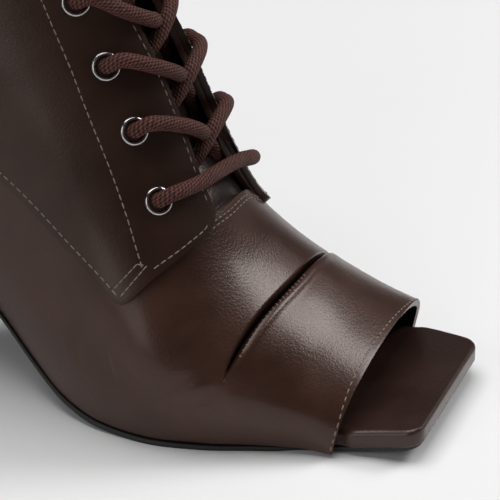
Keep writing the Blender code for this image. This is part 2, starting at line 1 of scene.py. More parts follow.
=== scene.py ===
# %% [markdown]
# # A peep toe ankle boot
# The real shoe is a right ankle boot of dark brown leather: an open, square toe, a vamp with one deep
# pleat, two laced quarters with metal eyelets, and a slim covered block heel. This lesson makes each piece
# as a surface, that is, as points worked out from two numbers, and gives it a leather, metal or cord finish.
# The CAD frame is loaded first, because every piece has to sit where its solid sits.

# %% Load the fixed frame
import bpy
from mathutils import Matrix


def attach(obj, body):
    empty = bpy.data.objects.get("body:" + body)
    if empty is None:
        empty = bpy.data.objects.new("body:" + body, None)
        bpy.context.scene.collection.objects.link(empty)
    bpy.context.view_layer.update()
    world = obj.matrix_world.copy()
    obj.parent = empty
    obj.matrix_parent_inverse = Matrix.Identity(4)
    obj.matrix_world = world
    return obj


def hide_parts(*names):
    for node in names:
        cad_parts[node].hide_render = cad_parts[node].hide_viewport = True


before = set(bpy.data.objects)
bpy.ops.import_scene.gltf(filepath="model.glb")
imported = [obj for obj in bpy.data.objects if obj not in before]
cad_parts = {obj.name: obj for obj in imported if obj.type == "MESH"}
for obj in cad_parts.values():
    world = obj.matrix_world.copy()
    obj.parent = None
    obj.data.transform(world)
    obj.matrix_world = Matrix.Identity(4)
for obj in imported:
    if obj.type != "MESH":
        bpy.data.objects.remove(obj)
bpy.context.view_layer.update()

import math

import bpy
import numpy as np
from mathutils import Vector

# %% [markdown]
# ## The last
# A shoemaker builds a shoe on a last, a solid copy of the foot. Here the last is three tables in
# millimetres: the height of the tread, the plan of the sole, and cross sections of the upper from the toe
# opening (0) to the collar (17). A section is a curve from the sole's edge over the foot and down again.
# Tables read by a smooth curve are easier to correct than a sculpted mesh, and every layer can share them.

# %% Tables of the last, in millimetres
# x and height of the sole's underside
TREAD = np.array([
    (-116, 80.0), (-100, 76.6), (-86, 72.8), (-72, 67.6), (-58, 60.0), (-45, 50.6), (-32, 39.4),
    (-20, 28.2), (-10, 18.6), (-3, 12.5), (4, 7.5), (11, 4.1), (17, 2.2), (24, 0.9), (32, 0.2),
    (40, 0.0), (78, 0.0), (86, 0.15), (95, 0.9), (104, 2.3), (116, 4.6),
])
# x, and y of the sole's outer and inner edge
OUTLINE = np.array([
    (-90, -24.0, 24.0), (-70, -23.6, 24.2), (-45, -21.6, 23.0), (-28, -21.4, 23.4), (-14, -23.4, 25.6),
    (0, -28.4, 30.0), (12, -34.0, 35.5), (25, -38.0, 40.5), (40, -39.4, 44.5), (55, -36.9, 46.2),
    (70, -31.6, 46.4), (85, -26.8, 45.0), (96, -24.6, 43.2), (107, -23.4, 39.0), (116, -23.0, 34.4),
])
COLUMNS = (
    "ridge_x", "ridge_z", "ridge_y", "base_x", "lift", "out", "lateral", "lateral_at",
    "medial", "medial_at", "lateral_full", "medial_full", "spread", "rise",
)
SECTIONS = np.array([
    (96.0, 23.4, 10.0, 91.5, 0.9, 2.2, 27.6, 0.22, 45.2, 0.42, 0.60, 0.62, 0.50, 0.30),
    (85.0, 29.6, 10.0, 81.0, 2.1, 1.0, 30.6, 0.32, 47.0, 0.36, 0.58, 0.50, 0.40, 0.30),
    (71.5, 37.7, 10.0, 66.5, 2.1, -0.2, 35.8, 0.36, 48.0, 0.34, 0.56, 0.46, 0.40, 0.30),
    (58.5, 48.6, 8.0, 50.0, 2.1, -0.6, 41.0, 0.36, 47.2, 0.34, 0.53, 0.44, 0.40, 0.30),
    (50.5, 59.5, 6.0, 33.0, 2.1, -0.6, 42.5, 0.38, 44.5, 0.34, 0.50, 0.44, 0.40, 0.30),
    (44.0, 72.5, 5.0, 14.0, 2.1, -0.6, 40.0, 0.40, 40.5, 0.37, 0.52, 0.50, 0.50, 0.30),
    (37.5, 88.0, 5.0, -9.0, 2.1, -0.6, 35.5, 0.44, 36.5, 0.42, 0.54, 0.54, 0.60, 0.30),
    (31.0, 104.0, 4.5, -37.0, 2.1, -0.6, 32.5, 0.46, 33.5, 0.46, 0.56, 0.56, 0.60, 0.30),
    (25.0, 117.0, 4.0, -67.0, 2.1, -0.6, 31.0, 0.46, 32.0, 0.46, 0.56, 0.56, 0.50, 0.30),
    (19.5, 129.5, 3.5, -90.0, 2.1, -0.6, 30.5, 0.44, 31.0, 0.44, 0.56, 0.56, 0.60, 0.25),
    (16.0, 137.5, 3.0, -101.0, 2.1, -0.6, 30.0, 0.44, 30.5, 0.44, 0.56, 0.56, 0.65, 0.12),
    (13.3, 144.0, 2.6, -109.0, 2.1, -0.6, 29.6, 0.45, 30.0, 0.45, 0.56, 0.56, 0.60, 0.05),
    (11.0, 149.5, 2.4, -112.0, 2.1, 0.0, 29.3, 0.46, 29.6, 0.46, 0.56, 0.56, 0.55, 0.00),
    (8.3, 156.5, 2.2, -114.0, 0.0, 0.0, 29.2, 0.47, 29.4, 0.47, 0.56, 0.56, 0.55, 0.00),
    (4.6, 166.5, 2.0, -112.0, 0.0, 0.0, 29.5, 0.48, 29.5, 0.48, 0.56, 0.56, 0.55, 0.00),
    (0.4, 178.5, 1.6, -107.0, 0.0, 0.0, 30.5, 0.49, 30.5, 0.49, 0.56, 0.56, 0.55, 0.00),
    (-4.1, 191.5, 1.2, -104.0, 0.0, 0.0, 32.0, 0.50, 32.0, 0.50, 0.56, 0.56, 0.55, 0.00),
    (-9.0, 206.0, 0.8, -104.0, 0.0, 0.0, 33.5, 0.50, 33.5, 0.50, 0.56, 0.56, 0.55, 0.00),
    (-12.6, 217.0, 0.6, -104.5, 0.0, 0.0, 34.0, 0.50, 34.0, 0.50, 0.56, 0.56, 0.55, 0.00),
])
# section and height of the back seam
BACK_SEAM = np.array([
    (12, 81.2), (13, 98.0), (14, 121.0), (15, 146.0), (16, 173.0), (17, 203.0), (18, 214.0),
])
SEAT_START, SEAT_RADIUS = -90.0, 22.0
TOE_END, TOE_CORNER = 116.0, 5.0
SEAM_START, THROAT, COLLAR, TONGUE_TOP = 12.0, 4.1, 17.0, 17.8
CENTRE = np.array([0.57, 2.79, 0.0])
STEP_ALONG, STEP_AROUND = 0.02, 0.004
MM = 0.001
print("sections:", len(SECTIONS), "tread points:", len(TREAD))

# %% [markdown]
# ## Reading the tables
# A straight line between table rows would show as facets, and a free cubic would swing past the numbers.
# A monotone cubic does neither: between two rows it never leaves their range. The skin function turns a
# section number s and a place t round the section into a point: t is -1 at the outer edge of the sole,
# 0 on the ridge and 1 at the inner edge. The normal comes from two small steps, one along and one around.


# %% Smooth curves and the skin of the last
def smooth(knots, values, at):
    """Monotone cubic: Hermite pieces whose slopes are the weighted harmonic mean of their neighbours."""
    knots, values, at = (np.asarray(a, float) for a in (knots, values, at))
    step = np.diff(knots)
    slope = np.diff(values) / step
    tangent = np.concatenate([slope[:1], np.zeros(len(knots) - 2), slope[-1:]])
    same_way = slope[:-1] * slope[1:] > 0
    before, after = 2 * step[1:] + step[:-1], step[1:] + 2 * step[:-1]
    left = np.where(same_way, slope[:-1], 1.0)
    right = np.where(same_way, slope[1:], 1.0)
    tangent[1:-1] = np.where(same_way, (before + after) / (before / left + after / right), 0.0)
    k = np.clip(np.searchsorted(knots, at, side="right") - 1, 0, len(knots) - 2)
    t = np.clip((at - knots[k]) / step[k], 0, 1)
    ends = (2 * t**3 - 3 * t**2 + 1) * values[k] + (3 * t**2 - 2 * t**3) * values[k + 1]
    return ends + step[k] * ((t**3 - 2 * t**2 + t) * tangent[k] + (t**3 - t**2) * tangent[k + 1])


def read(table, at, column=1):
    """A column of a table, as a smooth curve over its first column."""
    return smooth(table[:, 0], table[:, column], at)


def bezier(a, b, c, d, t):
    """Cubic curve from a to d, with weights (1-t) cubed, 3t(1-t) squared, 3t squared(1-t) and t cubed."""
    u = 1 - t
    return u**3 * a + 3 * u * u * t * b + 3 * u * t * t * c + t**3 * d


def blend(a, b, x):
    """Soft step: 0 before a, 1 after b, three t squared minus two t cubed between."""
    t = np.clip((np.asarray(x, float) - a) / (b - a), 0, 1)
    return t * t * (3 - 2 * t)


def tread(x):
    """Height of the outsole's underside at x."""
    return read(TREAD, x)


def sole_edge(x, side):
    """Plan of the sole on side -1 (outer) or 1 (inner): the table, then a half circle round the seat."""
    along = np.maximum(np.asarray(x, float), SEAT_START)
    outer = read(OUTLINE, along)
    inner = read(OUTLINE, along, 2)
    seat = np.clip((SEAT_START - x) / SEAT_RADIUS, 0, 1)
    return np.where(np.asarray(side) < 0, outer, inner) * np.sqrt(1 - seat**2)


def skin(s, t):
    """Point of the last's face: two cubics, base to widest point and widest point to ridge, in the
    slanted plane that runs from the section's base to its ridge."""
    s, t = np.broadcast_arrays(np.asarray(s, float), np.asarray(t, float))
    c = {name: smooth(np.arange(len(SECTIONS)), SECTIONS[:, i], s) for i, name in enumerate(COLUMNS)}
    side = np.where(t < 0, -1.0, 1.0)
    wide = side * np.where(t < 0, c["lateral"], c["medial"])
    high = np.where(t < 0, c["lateral_at"], c["medial_at"])
    full = np.where(t < 0, c["lateral_full"], c["medial_full"])
    base = np.where(s < SEAM_START, sole_edge(c["base_x"], side) + side * c["out"], 0.0)
    way = 1 - np.abs(t)
    low = np.clip(way / 0.5, 0, 1)
    top = np.clip((way - 0.5) / 0.5, 0, 1)
    ridge = c["ridge_y"]
    seam = read(BACK_SEAM, s)
    base_z = np.where(s < SEAM_START, tread(c["base_x"]) + c["lift"], seam)
    y_low = bezier(base, base + c["spread"] * (wide - base), wide, wide, low)
    y_top = bezier(wide, wide, ridge + full * (wide - ridge), ridge, top)
    v_low = bezier(0, c["rise"] * high, 0.5 * high, high, low)
    v_top = bezier(high, high + full * (1 - high), 1, 1, top)
    y = np.where(way < 0.5, y_low, y_top)
    v = np.where(way < 0.5, v_low, v_top)
    x = c["base_x"] + v * (c["ridge_x"] - c["base_x"])
    z = base_z + v * (c["ridge_z"] - base_z)
    return np.stack([x, y, z], -1)


def lengths(line):
    """Distance along a line of points, from its first point to each of them."""
    return np.concatenate([[0], np.cumsum(np.linalg.norm(np.diff(line, axis=0), axis=1))])


def interpolate(at, way, columns):
    """Every column read by straight lines at the distances at."""
    return np.stack([np.interp(at, way, column) for column in columns.T], -1)


def turns(count):
    """Angles of equal steps round a circle."""
    return np.linspace(0, 2 * math.pi, count, endpoint=False)


def unit(vectors):
    """Vectors divided by their own length."""
    return vectors / np.maximum(np.linalg.norm(vectors, axis=-1, keepdims=True), 1e-9)


def along_skin(s, t):
    """Change of the skin's point for one whole section, from a small step each way."""
    low, high = np.maximum(s - STEP_ALONG, 0.0), np.minimum(s + STEP_ALONG, len(SECTIONS) - 1.0)
    return (skin(high, t) - skin(low, t)) / (high - low)[..., None]


def outward(s, t):
    """Normal of the skin: the step around crossed with the step along."""
    s, t = np.broadcast_arrays(np.asarray(s, float), np.asarray(t, float))
    around = skin(s, np.minimum(t + STEP_AROUND, 1.0)) - skin(s, np.maximum(t - STEP_AROUND, -1.0))
    return unit(np.cross(around, along_skin(s, t)))


def offset(s, t, lift):
    """The skin's point plus lift times its normal."""
    s, t = np.broadcast_arrays(np.asarray(s, float), np.asarray(t, float))
    return skin(s, t) + np.asarray(lift)[..., None] * outward(s, t)


def at_arc(s, arc):
    """Place t where the way round section s from the ridge is arc long, negative on the outer side."""
    steps = np.linspace(0, 1, 161)
    s, arc = np.broadcast_arrays(np.atleast_1d(np.asarray(s, float)), np.asarray(arc, float))
    line = skin(s[:, None], steps * np.sign(arc)[:, None])
    way = np.cumsum(np.linalg.norm(np.diff(line, axis=1), axis=2), axis=1)
    way = np.concatenate([np.zeros((len(s), 1)), way], axis=1)
    found = [np.interp(abs(length), row, steps) for row, length in zip(way, arc)]
    return np.array(found) * np.sign(arc)


def to_frame(points):
    """Millimetres of the last to metres of the shoe's frame."""
    return (np.asarray(points) - CENTRE) * MM


print("ridge at the instep, metres:", to_frame(skin(5.0, 0.0)).round(4))

# %% [markdown]
# ## From grids to meshes
# Each sheet of leather has two faces and a rim. The helper takes two grids of points, outer and inner,
# joins each into quads, and closes them wherever a quad has no neighbour. It finds those edges by listing
# every quad's edges in both directions: an edge whose reverse is missing is on the border. A Solidify
# modifier could do this too, but two grids let the inner face differ from the outer one.


# %% Build a piece from points and faces
def piece_from(name, points, quads, finishes, nodes, corners=(), finish_of=None, uv=None):
    """Puts arrays into a mesh object at the origin, rides it on root and lets it stand for CAD nodes."""
    used, quads_flat = np.unique(quads, return_inverse=True)
    quads = quads_flat.reshape(quads.shape)
    points = to_frame(points.reshape(-1, 3)[used])
    renumber = {int(old): new for new, old in enumerate(used)} if corners else {}
    polygons = [[renumber[int(v)] for v in face] for face in corners]
    sizes = np.array([4] * len(quads) + [len(face) for face in polygons])
    loops = np.concatenate([quads.ravel(), *[np.array(face, int) for face in polygons]])
    mesh = bpy.data.meshes.new(name)
    mesh.vertices.add(len(points))
    mesh.vertices.foreach_set("co", points.ravel())
    mesh.loops.add(len(loops))
    mesh.loops.foreach_set("vertex_index", loops.astype(np.int32))
    mesh.polygons.add(len(sizes))
    mesh.polygons.foreach_set("loop_start", (np.cumsum(sizes) - sizes).astype(np.int32))
    if finish_of is not None:
        mesh.polygons.foreach_set("material_index", finish_of.astype(np.int32))
    mesh.update(calc_edges=True)
    if uv is not None:
        layer = mesh.uv_layers.new(name="pattern")
        flat = np.zeros((len(loops), 2))
        flat[: uv.size // 2] = uv.reshape(-1, 2)
        layer.data.foreach_set("uv", flat.ravel())
    mesh.validate()
    mesh.shade_smooth()
    for material in finishes:
        mesh.materials.append(material)
    piece = bpy.data.objects.new(name, mesh)
    bpy.context.scene.collection.objects.link(piece)
    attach(piece, "root")
    if nodes:
        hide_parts(*nodes)
    return piece


def leather_sheet(name, outer, inner, finishes, nodes, keep=None, joined=None, shaded=None,
                  edge_radius=0.45):
    """A sheet with an outer face, an inner face and a rounded rim: keep says which cells are there, joined
    which rows close round the back, and shaded which outer cells take the third finish, a painted shade.
    The second finish lines the inside."""
    rows, columns = outer.shape[:2]
    count = rows * columns
    number = np.arange(count).reshape(rows, columns)
    if joined is not None:
        number[joined, -1] = number[joined, 0]
    cells = np.stack([number[:-1, :-1], number[:-1, 1:], number[1:, 1:], number[1:, :-1]], -1)
    keep = np.ones(cells.shape[:2], bool) if keep is None else keep
    cells = cells[keep]
    flat_outer, flat_inner = outer.reshape(-1, 3), inner.reshape(-1, 3)
    across = flat_outer[cells[:, 2]] - flat_outer[cells[:, 0]]
    other = flat_outer[cells[:, 3]] - flat_outer[cells[:, 1]]
    out = flat_outer[cells[:, 0]] - flat_inner[cells[:, 0]]
    if np.sum(np.cross(across, other) * out) < 0:
        cells = cells[:, ::-1]
    starts, ends = cells, np.roll(cells, -1, axis=1)
    border = ~np.isin(starts * count + ends, ends * count + starts)
    a, b = starts[border], ends[border]
    rim = np.stack([b, a, a + count, b + count], -1)
    quads = np.concatenate([cells, cells[:, ::-1] + count, rim])
    finish_of = np.repeat([0, min(1, len(finishes) - 1), 0], [len(cells), len(cells), len(rim)])
    if shaded is not None:
        finish_of[: len(cells)][shaded[keep]] = 2
    points = np.concatenate([flat_outer, flat_inner])
    piece = piece_from(name, points, quads, finishes, nodes, finish_of=finish_of)
    if edge_radius:
        round_edges(piece, edge_radius)
    return piece


def round_edges(piece, radius, segments=3, angle=50):
    """A Bevel modifier, on edges sharper than the angle, with radius in millimetres."""
    bevel = piece.modifiers.new("rounded edge", "BEVEL")
    bevel.width = radius * MM
    bevel.segments = segments
    bevel.limit_method = "ANGLE"
    bevel.angle_limit = math.radians(angle)
    bevel.use_clamp_overlap = True


def ring_stack(name, rings, finishes, nodes, uv=None):
    """A closed skin through a stack of rings, given as rows x sides x 3, with a flat cap at each end."""
    rows, sides = rings.shape[:2]
    number = np.arange(rows * sides).reshape(rows, sides)
    turned = np.roll(number, -1, axis=1)
    quads = np.stack([number[:-1], turned[:-1], turned[1:], number[1:]], -1).reshape(-1, 4)
    caps = [number[0][::-1], number[-1]]
    return piece_from(name, rings, quads, finishes, nodes, corners=caps, uv=uv)


print("helpers ready")

# %% [markdown]
# ## Finishes
# Leather is a dyed skin under a thin clear finish. Its grain is a pattern of small raised cells with fine
# creases between them, which a Voronoi texture gives, and its colour drifts a little, which Noise gives.
# Grain this small is relief in the material, not in the mesh. The pattern reads Object coordinates, in
# metres, so a cell size in millimetres can be set directly.


# %% Leather, lining, rubber and metal
def finish(name, colour, roughness, **sockets):
    """A new material, its shader with plain values set on it, and its node tree."""
    made = bpy.data.materials.new(name)
    made.use_nodes = True
    shader = made.node_tree.nodes["Principled BSDF"]
    shader.inputs["Base Color"].default_value = (*colour, 1.0)
    shader.inputs["Roughness"].default_value = roughness
    for socket, value in sockets.items():
        shader.inputs[socket.replace("_", " ")].default_value = value
    return made, shader, made.node_tree


def node(tree, kind, **settings):
    """Adds a node. A setting that starts with in_ is an input: a plain value, or the output of another
    node, which is linked to it. Any other setting is a property."""
    made = tree.nodes.new(kind)
    for key, value in settings.items():
        if not key.startswith("in_"):
            setattr(made, key, value)
            continue
        socket = made.inputs[key[3:].replace("_", " ")]
        if isinstance(value, bpy.types.NodeSocket):
            tree.links.new(value, socket)
        else:
            socket.default_value = value
    return made


def place_on(tree):
    """Object coordinates, in metres."""
    return node(tree, "ShaderNodeTexCoord").outputs["Object"]


def tones(tree, shader, source, dark, light, low, high):
    """Base colour that goes from dark to light as the source goes from low to high."""
    ramp = node(tree, "ShaderNodeValToRGB", in_Fac=source)
    for index, (position, colour) in enumerate(((low, dark), (high, light))):
        ramp.color_ramp.elements[index].position = position
        ramp.color_ramp.elements[index].color = (*colour, 1.0)
    tree.links.new(ramp.outputs["Color"], shader.inputs["Base Color"])


def vary_colour(tree, shader, place, dark, light, size):
    """Base colour that drifts between two tones over patches of a size in millimetres."""
    cloud = node(tree, "ShaderNodeTexNoise", in_Scale=1000.0 / size, in_Detail=3.0, in_Vector=place)
    tones(tree, shader, cloud.outputs["Fac"], dark, light, 0.35, 0.65)
    return cloud


def vary_roughness(tree, shader, source, low, high):
    """Roughness that follows a texture, from low to high."""
    span = node(tree, "ShaderNodeMapRange", in_From_Min=0.3, in_From_Max=0.7, in_To_Min=low, in_To_Max=high,
                in_Value=source)
    tree.links.new(span.outputs["Result"], shader.inputs["Roughness"])


def relief(tree, shader, height, depth, strength=1.0, before=None):
    """Bump of a depth in millimetres; before is a bump that this one adds to."""
    bump = node(tree, "ShaderNodeBump", in_Strength=strength, in_Distance=depth * MM, in_Height=height)
    if before is not None:
        tree.links.new(before.outputs["Normal"], bump.inputs["Normal"])
    tree.links.new(bump.outputs["Normal"], shader.inputs["Normal"])
    return bump


def grained_leather(name, dark, light, roughness, pebble, depth, coat):
    """Leather whose grain cells are pebble millimetres wide: bent Voronoi cells over fine pores. Its shine
    is tinted, because the light that leaves a dyed skin passes through the dye."""
    made, shader, tree = finish(name, dark, roughness, Coat_Weight=coat, Coat_Roughness=0.20,
                                Specular_IOR_Level=0.35, Specular_Tint=SHINE_TINT, Coat_Tint=COAT_TINT)
    place = place_on(tree)
    bend = node(tree, "ShaderNodeTexNoise", in_Scale=700.0 / pebble, in_Detail=2.0, in_Vector=place)
    bent = node(tree, "ShaderNodeMix", data_type="VECTOR", in_Factor=GRAIN_BEND, in_A=place,
                in_B=bend.outputs["Color"])
    cells = node(tree, "ShaderNodeTexVoronoi", feature="SMOOTH_F1", in_Scale=1000.0 / pebble,
                 in_Smoothness=0.35, in_Vector=bent.outputs["Result"])
    dome = node(tree, "ShaderNodeMapRange", in_From_Min=0.0, in_From_Max=0.75, in_To_Min=1.0, in_To_Max=0.0,
                in_Value=cells.outputs["Distance"])
    pores = node(tree, "ShaderNodeTexNoise", in_Scale=PORE_SCALE, in_Detail=3.0, in_Vector=place)
    first = relief(tree, shader, dome.outputs["Result"], depth, 0.8)
    relief(tree, shader, pores.outputs["Fac"], PORE_DEPTH, 0.6, first)
    cloud = vary_colour(tree, shader, place, dark, light, CLOUD_SIZE)
    vary_roughness(tree, shader, cloud.outputs["Fac"], roughness - 0.05, roughness + 0.06)
    return made


def dull_finish(name, colour, roughness, grain, **sockets):
    """Rubber, thread, or the near-black painted shade in a fold or a needle hole: dull, with a fine uneven
    grain.
    """
    made, shader, tree = finish(name, colour, roughness, **sockets)
    fine = node(tree, "ShaderNodeTexNoise", in_Scale=1000.0 / grain, in_Detail=4.0, in_Vector=place_on(tree))
    relief(tree, shader, fine.outputs["Fac"], 0.08, 0.6)
    vary_roughness(tree, shader, fine.outputs["Fac"], roughness - 0.08, roughness + 0.08)
    return made


def rolled_metal(name, colour, roughness):
    """Plated metal with small darker, duller patches of wear."""
    made, shader, tree = finish(name, colour, roughness, Metallic=1.0)
    cloud = vary_colour(tree, shader, place_on(tree), [c * 0.7 for c in colour], colour, 2.0)
    vary_roughness(tree, shader, cloud.outputs["Fac"], roughness - 0.06, roughness + 0.1)
    return made


SHINE_TINT, COAT_TINT = (1.0, 0.80, 0.72, 1.0), (1.0, 0.90, 0.86, 1.0)
GRAIN_BEND, PORE_SCALE, PORE_DEPTH, CLOUD_SIZE = 0.0009, 4200.0, 0.04, 22.0
# darker and lighter colour, roughness, width of a grain cell and its depth in millimetres, and coat
LEATHERS = {
    "vamp": ((0.027, 0.0102, 0.0064), (0.043, 0.0178, 0.0118), 0.34, 0.8, 0.05, 0.25),
    "quarter": ((0.015, 0.0064, 0.0040), (0.026, 0.0114, 0.0074), 0.35, 0.7, 0.04, 0.20),
    "tongue": ((0.011, 0.0065, 0.0055), (0.018, 0.0105, 0.0085), 0.30, 0.9, 0.05, 0.25),
    "footbed": ((0.026, 0.0135, 0.0110), (0.038, 0.0205, 0.0165), 0.34, 0.8, 0.05, 0.30),
    "lining": ((0.016, 0.0110, 0.0100), (0.026, 0.0180, 0.0160), 0.55, 0.7, 0.05, 0.00),
    "heel": ((0.014, 0.0085, 0.0075), (0.023, 0.0140, 0.0120), 0.34, 0.8, 0.06, 0.30),
}
LEATHER = {part: grained_leather(part + "_leather", *numbers) for part, numbers in LEATHERS.items()}
# the fold's finish is painted shade: near-black and dull, for the shadow down in the pleat's slit
FOLD_PAINTED_SHADE = dull_finish("fold_painted_shade", (0.0035, 0.0025, 0.002), 0.95, 0.5, Specular_IOR_Level=0.1)
SOLE_RUBBER = dull_finish("sole_rubber", (0.012, 0.011, 0.011), 0.62, 0.6)
TIP_RUBBER = dull_finish("tip_rubber", (0.010, 0.0095, 0.0095), 0.55, 0.4)
THREAD = dull_finish("waxed_thread", (0.20, 0.148, 0.118), 0.6, 0.2)
# the needle holes' finish is painted shade: near-black
STITCH_HOLE_SHADE = dull_finish("stitch_hole_shade", (0.004, 0.003, 0.003), 0.7, 0.2)
EYELET_METAL = rolled_metal("eyelet_metal", (0.50, 0.49, 0.49), 0.15)
print("finishes:", len(bpy.data.materials))

# %% [markdown]
# ## The upper
# The upper is one hollow wall: the vamp over the toes, the back, and the shaft under the quarters. The
# vamp has a deep pleat: in front of it the leather is puffed up to a rounded lip, behind it it rolls down
# into a dark slit. A pleat could be simulated as cloth, but then it would land anywhere. Here its height is
# a formula of the distance from the fold's own line, so it lies where the real one lies, and the mesh's
# rows bend to follow the line, closest together where the height changes fastest. The cells down in the
# slit take a dull, almost black finish: painted shade, for the shadow that falls into the slit.


# %% The pleat and the creases
# the fold's line, as place t and section s
PLEAT = np.array([
    (-1.0, 2.62), (-0.45, 2.52), (-0.39, 2.45), (-0.31, 2.375), (-0.24, 2.32), (-0.174, 2.25),
    (-0.092, 2.155), (-0.036, 2.11), (0.08, 2.09), (0.2, 2.13), (1.0, 2.3),
])
PLEAT_ROW, PLEAT_REACH = 2.2, 1.9
PLEAT_ENDS = (-0.43, -0.30, 0.34, 0.50)
# in millimetres; the slit and its roll have a least width and the width that the middle adds
PLEAT_BULGE, PLEAT_LIP, PLEAT_DEPTH, PLEAT_TROUGH = 1.0, 0.35, 4.6, 0.2
SLIT_WIDTH, ROLL_WIDTH = (0.1, 0.35), (1.2, 0.9)
# the vamp's top edge at the throat, as place t and section s
VAMP_TOP = np.array([
    (-0.16, 4.40), (-0.13, 4.33), (-0.111, 4.24), (-0.04, 4.12), (0.076, 4.05), (0.146, 3.85), (0.2, 3.75),
])
VAMP_TOP_REACH, VAMP_TOP_FADES = 1.2, (0.2, 0.5)
# start s, t, end s, t, half width and depth in millimetres
CREASES = np.array([
    (2.55, -0.44, 2.95, -0.54, 1.8, 0.30), (2.45, -0.43, 2.40, -0.55, 1.8, 0.25),
    (2.75, -0.40, 3.50, -0.50, 2.0, 0.25), (4.95, -0.47, 4.55, -0.60, 1.6, 0.50),
    (4.65, -0.45, 4.10, -0.56, 1.8, 0.40), (5.40, -0.50, 5.25, -0.66, 1.7, 0.40),
    (3.30, -0.28, 3.90, -0.36, 2.2, 0.30), (4.95, 0.47, 4.55, 0.60, 1.6, 0.45),
    (2.45, 0.50, 2.70, 0.68, 1.8, 0.45), (3.35, 0.30, 3.95, 0.38, 2.2, 0.30),
])
SECTION_SPAN, HALF_GIRTH = 15.0, 112.0


def pleat_relief(s, t):
    """Height over the skin, in mm, from the distance to the fold: bulge and round lip in front, a steep
    wall, a narrow slit, then a quarter round back up and a shallow trough behind."""
    fold = read(PLEAT, t)
    away = (s - fold) * np.linalg.norm(along_skin(s, t), axis=-1)
    fade = blend(*PLEAT_ENDS[:2], t) * (1 - blend(*PLEAT_ENDS[2:], t))
    calm = 1 - 0.75 * blend(0.0, 0.25, t)
    lip = PLEAT_LIP * np.exp(-((away + 1.7) / 1.1) ** 2)
    front = calm * (PLEAT_BULGE * blend(-18.0, -5.0, away) + lip)
    wide = fade * (1 - 0.75 * blend(-0.15, 0.2, t))
    slit = SLIT_WIDTH[0] + SLIT_WIDTH[1] * wide
    roll = np.clip((away - slit) / (ROLL_WIDTH[0] + ROLL_WIDTH[1] * wide), 0, 1)
    trough = PLEAT_TROUGH * (1 - blend(2.0, 13.0, away))
    behind = -PLEAT_DEPTH * (1 - np.sqrt(1 - (1 - roll) ** 2)) - trough
    wall = blend(-0.4, 0.2, away)
    return fade * (front * (1 - wall) + behind * wall)


def crease_relief(s, t):
    """Soft troughs: each is a bell across the distance to its own short line."""
    place = np.stack([s * SECTION_SPAN, t * HALF_GIRTH], -1)
    total = np.zeros(s.shape)
    for s0, t0, s1, t1, width, depth in CREASES:
        start = np.array([s0 * SECTION_SPAN, t0 * HALF_GIRTH])
        line = np.array([s1 * SECTION_SPAN, t1 * HALF_GIRTH]) - start
        way = np.clip((place - start) @ line / (line @ line), 0, 1)
        gap = np.linalg.norm(place - start - way[..., None] * line, axis=-1)
        total -= depth * np.sin(np.pi * (0.1 + 0.8 * way)) * np.exp(-((gap / width) ** 2))
        total += 0.4 * depth * np.exp(-(((gap - 2 * width) / width) ** 2)) * np.sin(np.pi * way)
    return total


def vamp_relief(s, t):
    """Pleat and creases together."""
    return pleat_relief(s, t) + crease_relief(s, t)


print("creases:", len(CREASES))

# %% The upper's wall
WALL = 2.0
MEDIAL_DROP = 0.5
# section, and arc from the ridge to the facing's front edge
THROAT_ARC = np.array([(4.0, 15.0), (5.0, 13.5), (6.0, 11.5), (8.0, 10.6), (18.0, 10.6)])
SIDE_COLUMNS, THROAT_COLUMNS = 74, 16
# lift in mm under which a cell of the fold takes the painted shade, and the share of a dip the inner face
# follows
FOLD_SHADE, FOLD_SHARE = -1.3, 0.8
DROP_FADES = (0.2, 1.0)


def drop(side):
    """How much lower, in sections, the inner side's facing sits than the outer side's."""
    return MEDIAL_DROP if side > 0 else 0.0


def facing_edge(s, side):
    """Arc from the ridge to the facing's front edge."""
    return read(THROAT_ARC, np.asarray(s) + drop(side))


def throat(s, side, margin=0.0):
    """Place t of the facing's front edge, or margin millimetres behind it."""
    return at_arc(s, side * (facing_edge(s, side) + margin))


def upper_rows():
    """Section numbers of the mesh's rows: close together at the pleat."""
    return np.concatenate([
        np.arange(0, 1.76, 0.07), np.arange(1.78, 2.66, 0.02), np.arange(2.70, 4.05, 0.075),
        np.linspace(THROAT, COLLAR, 170),
    ])


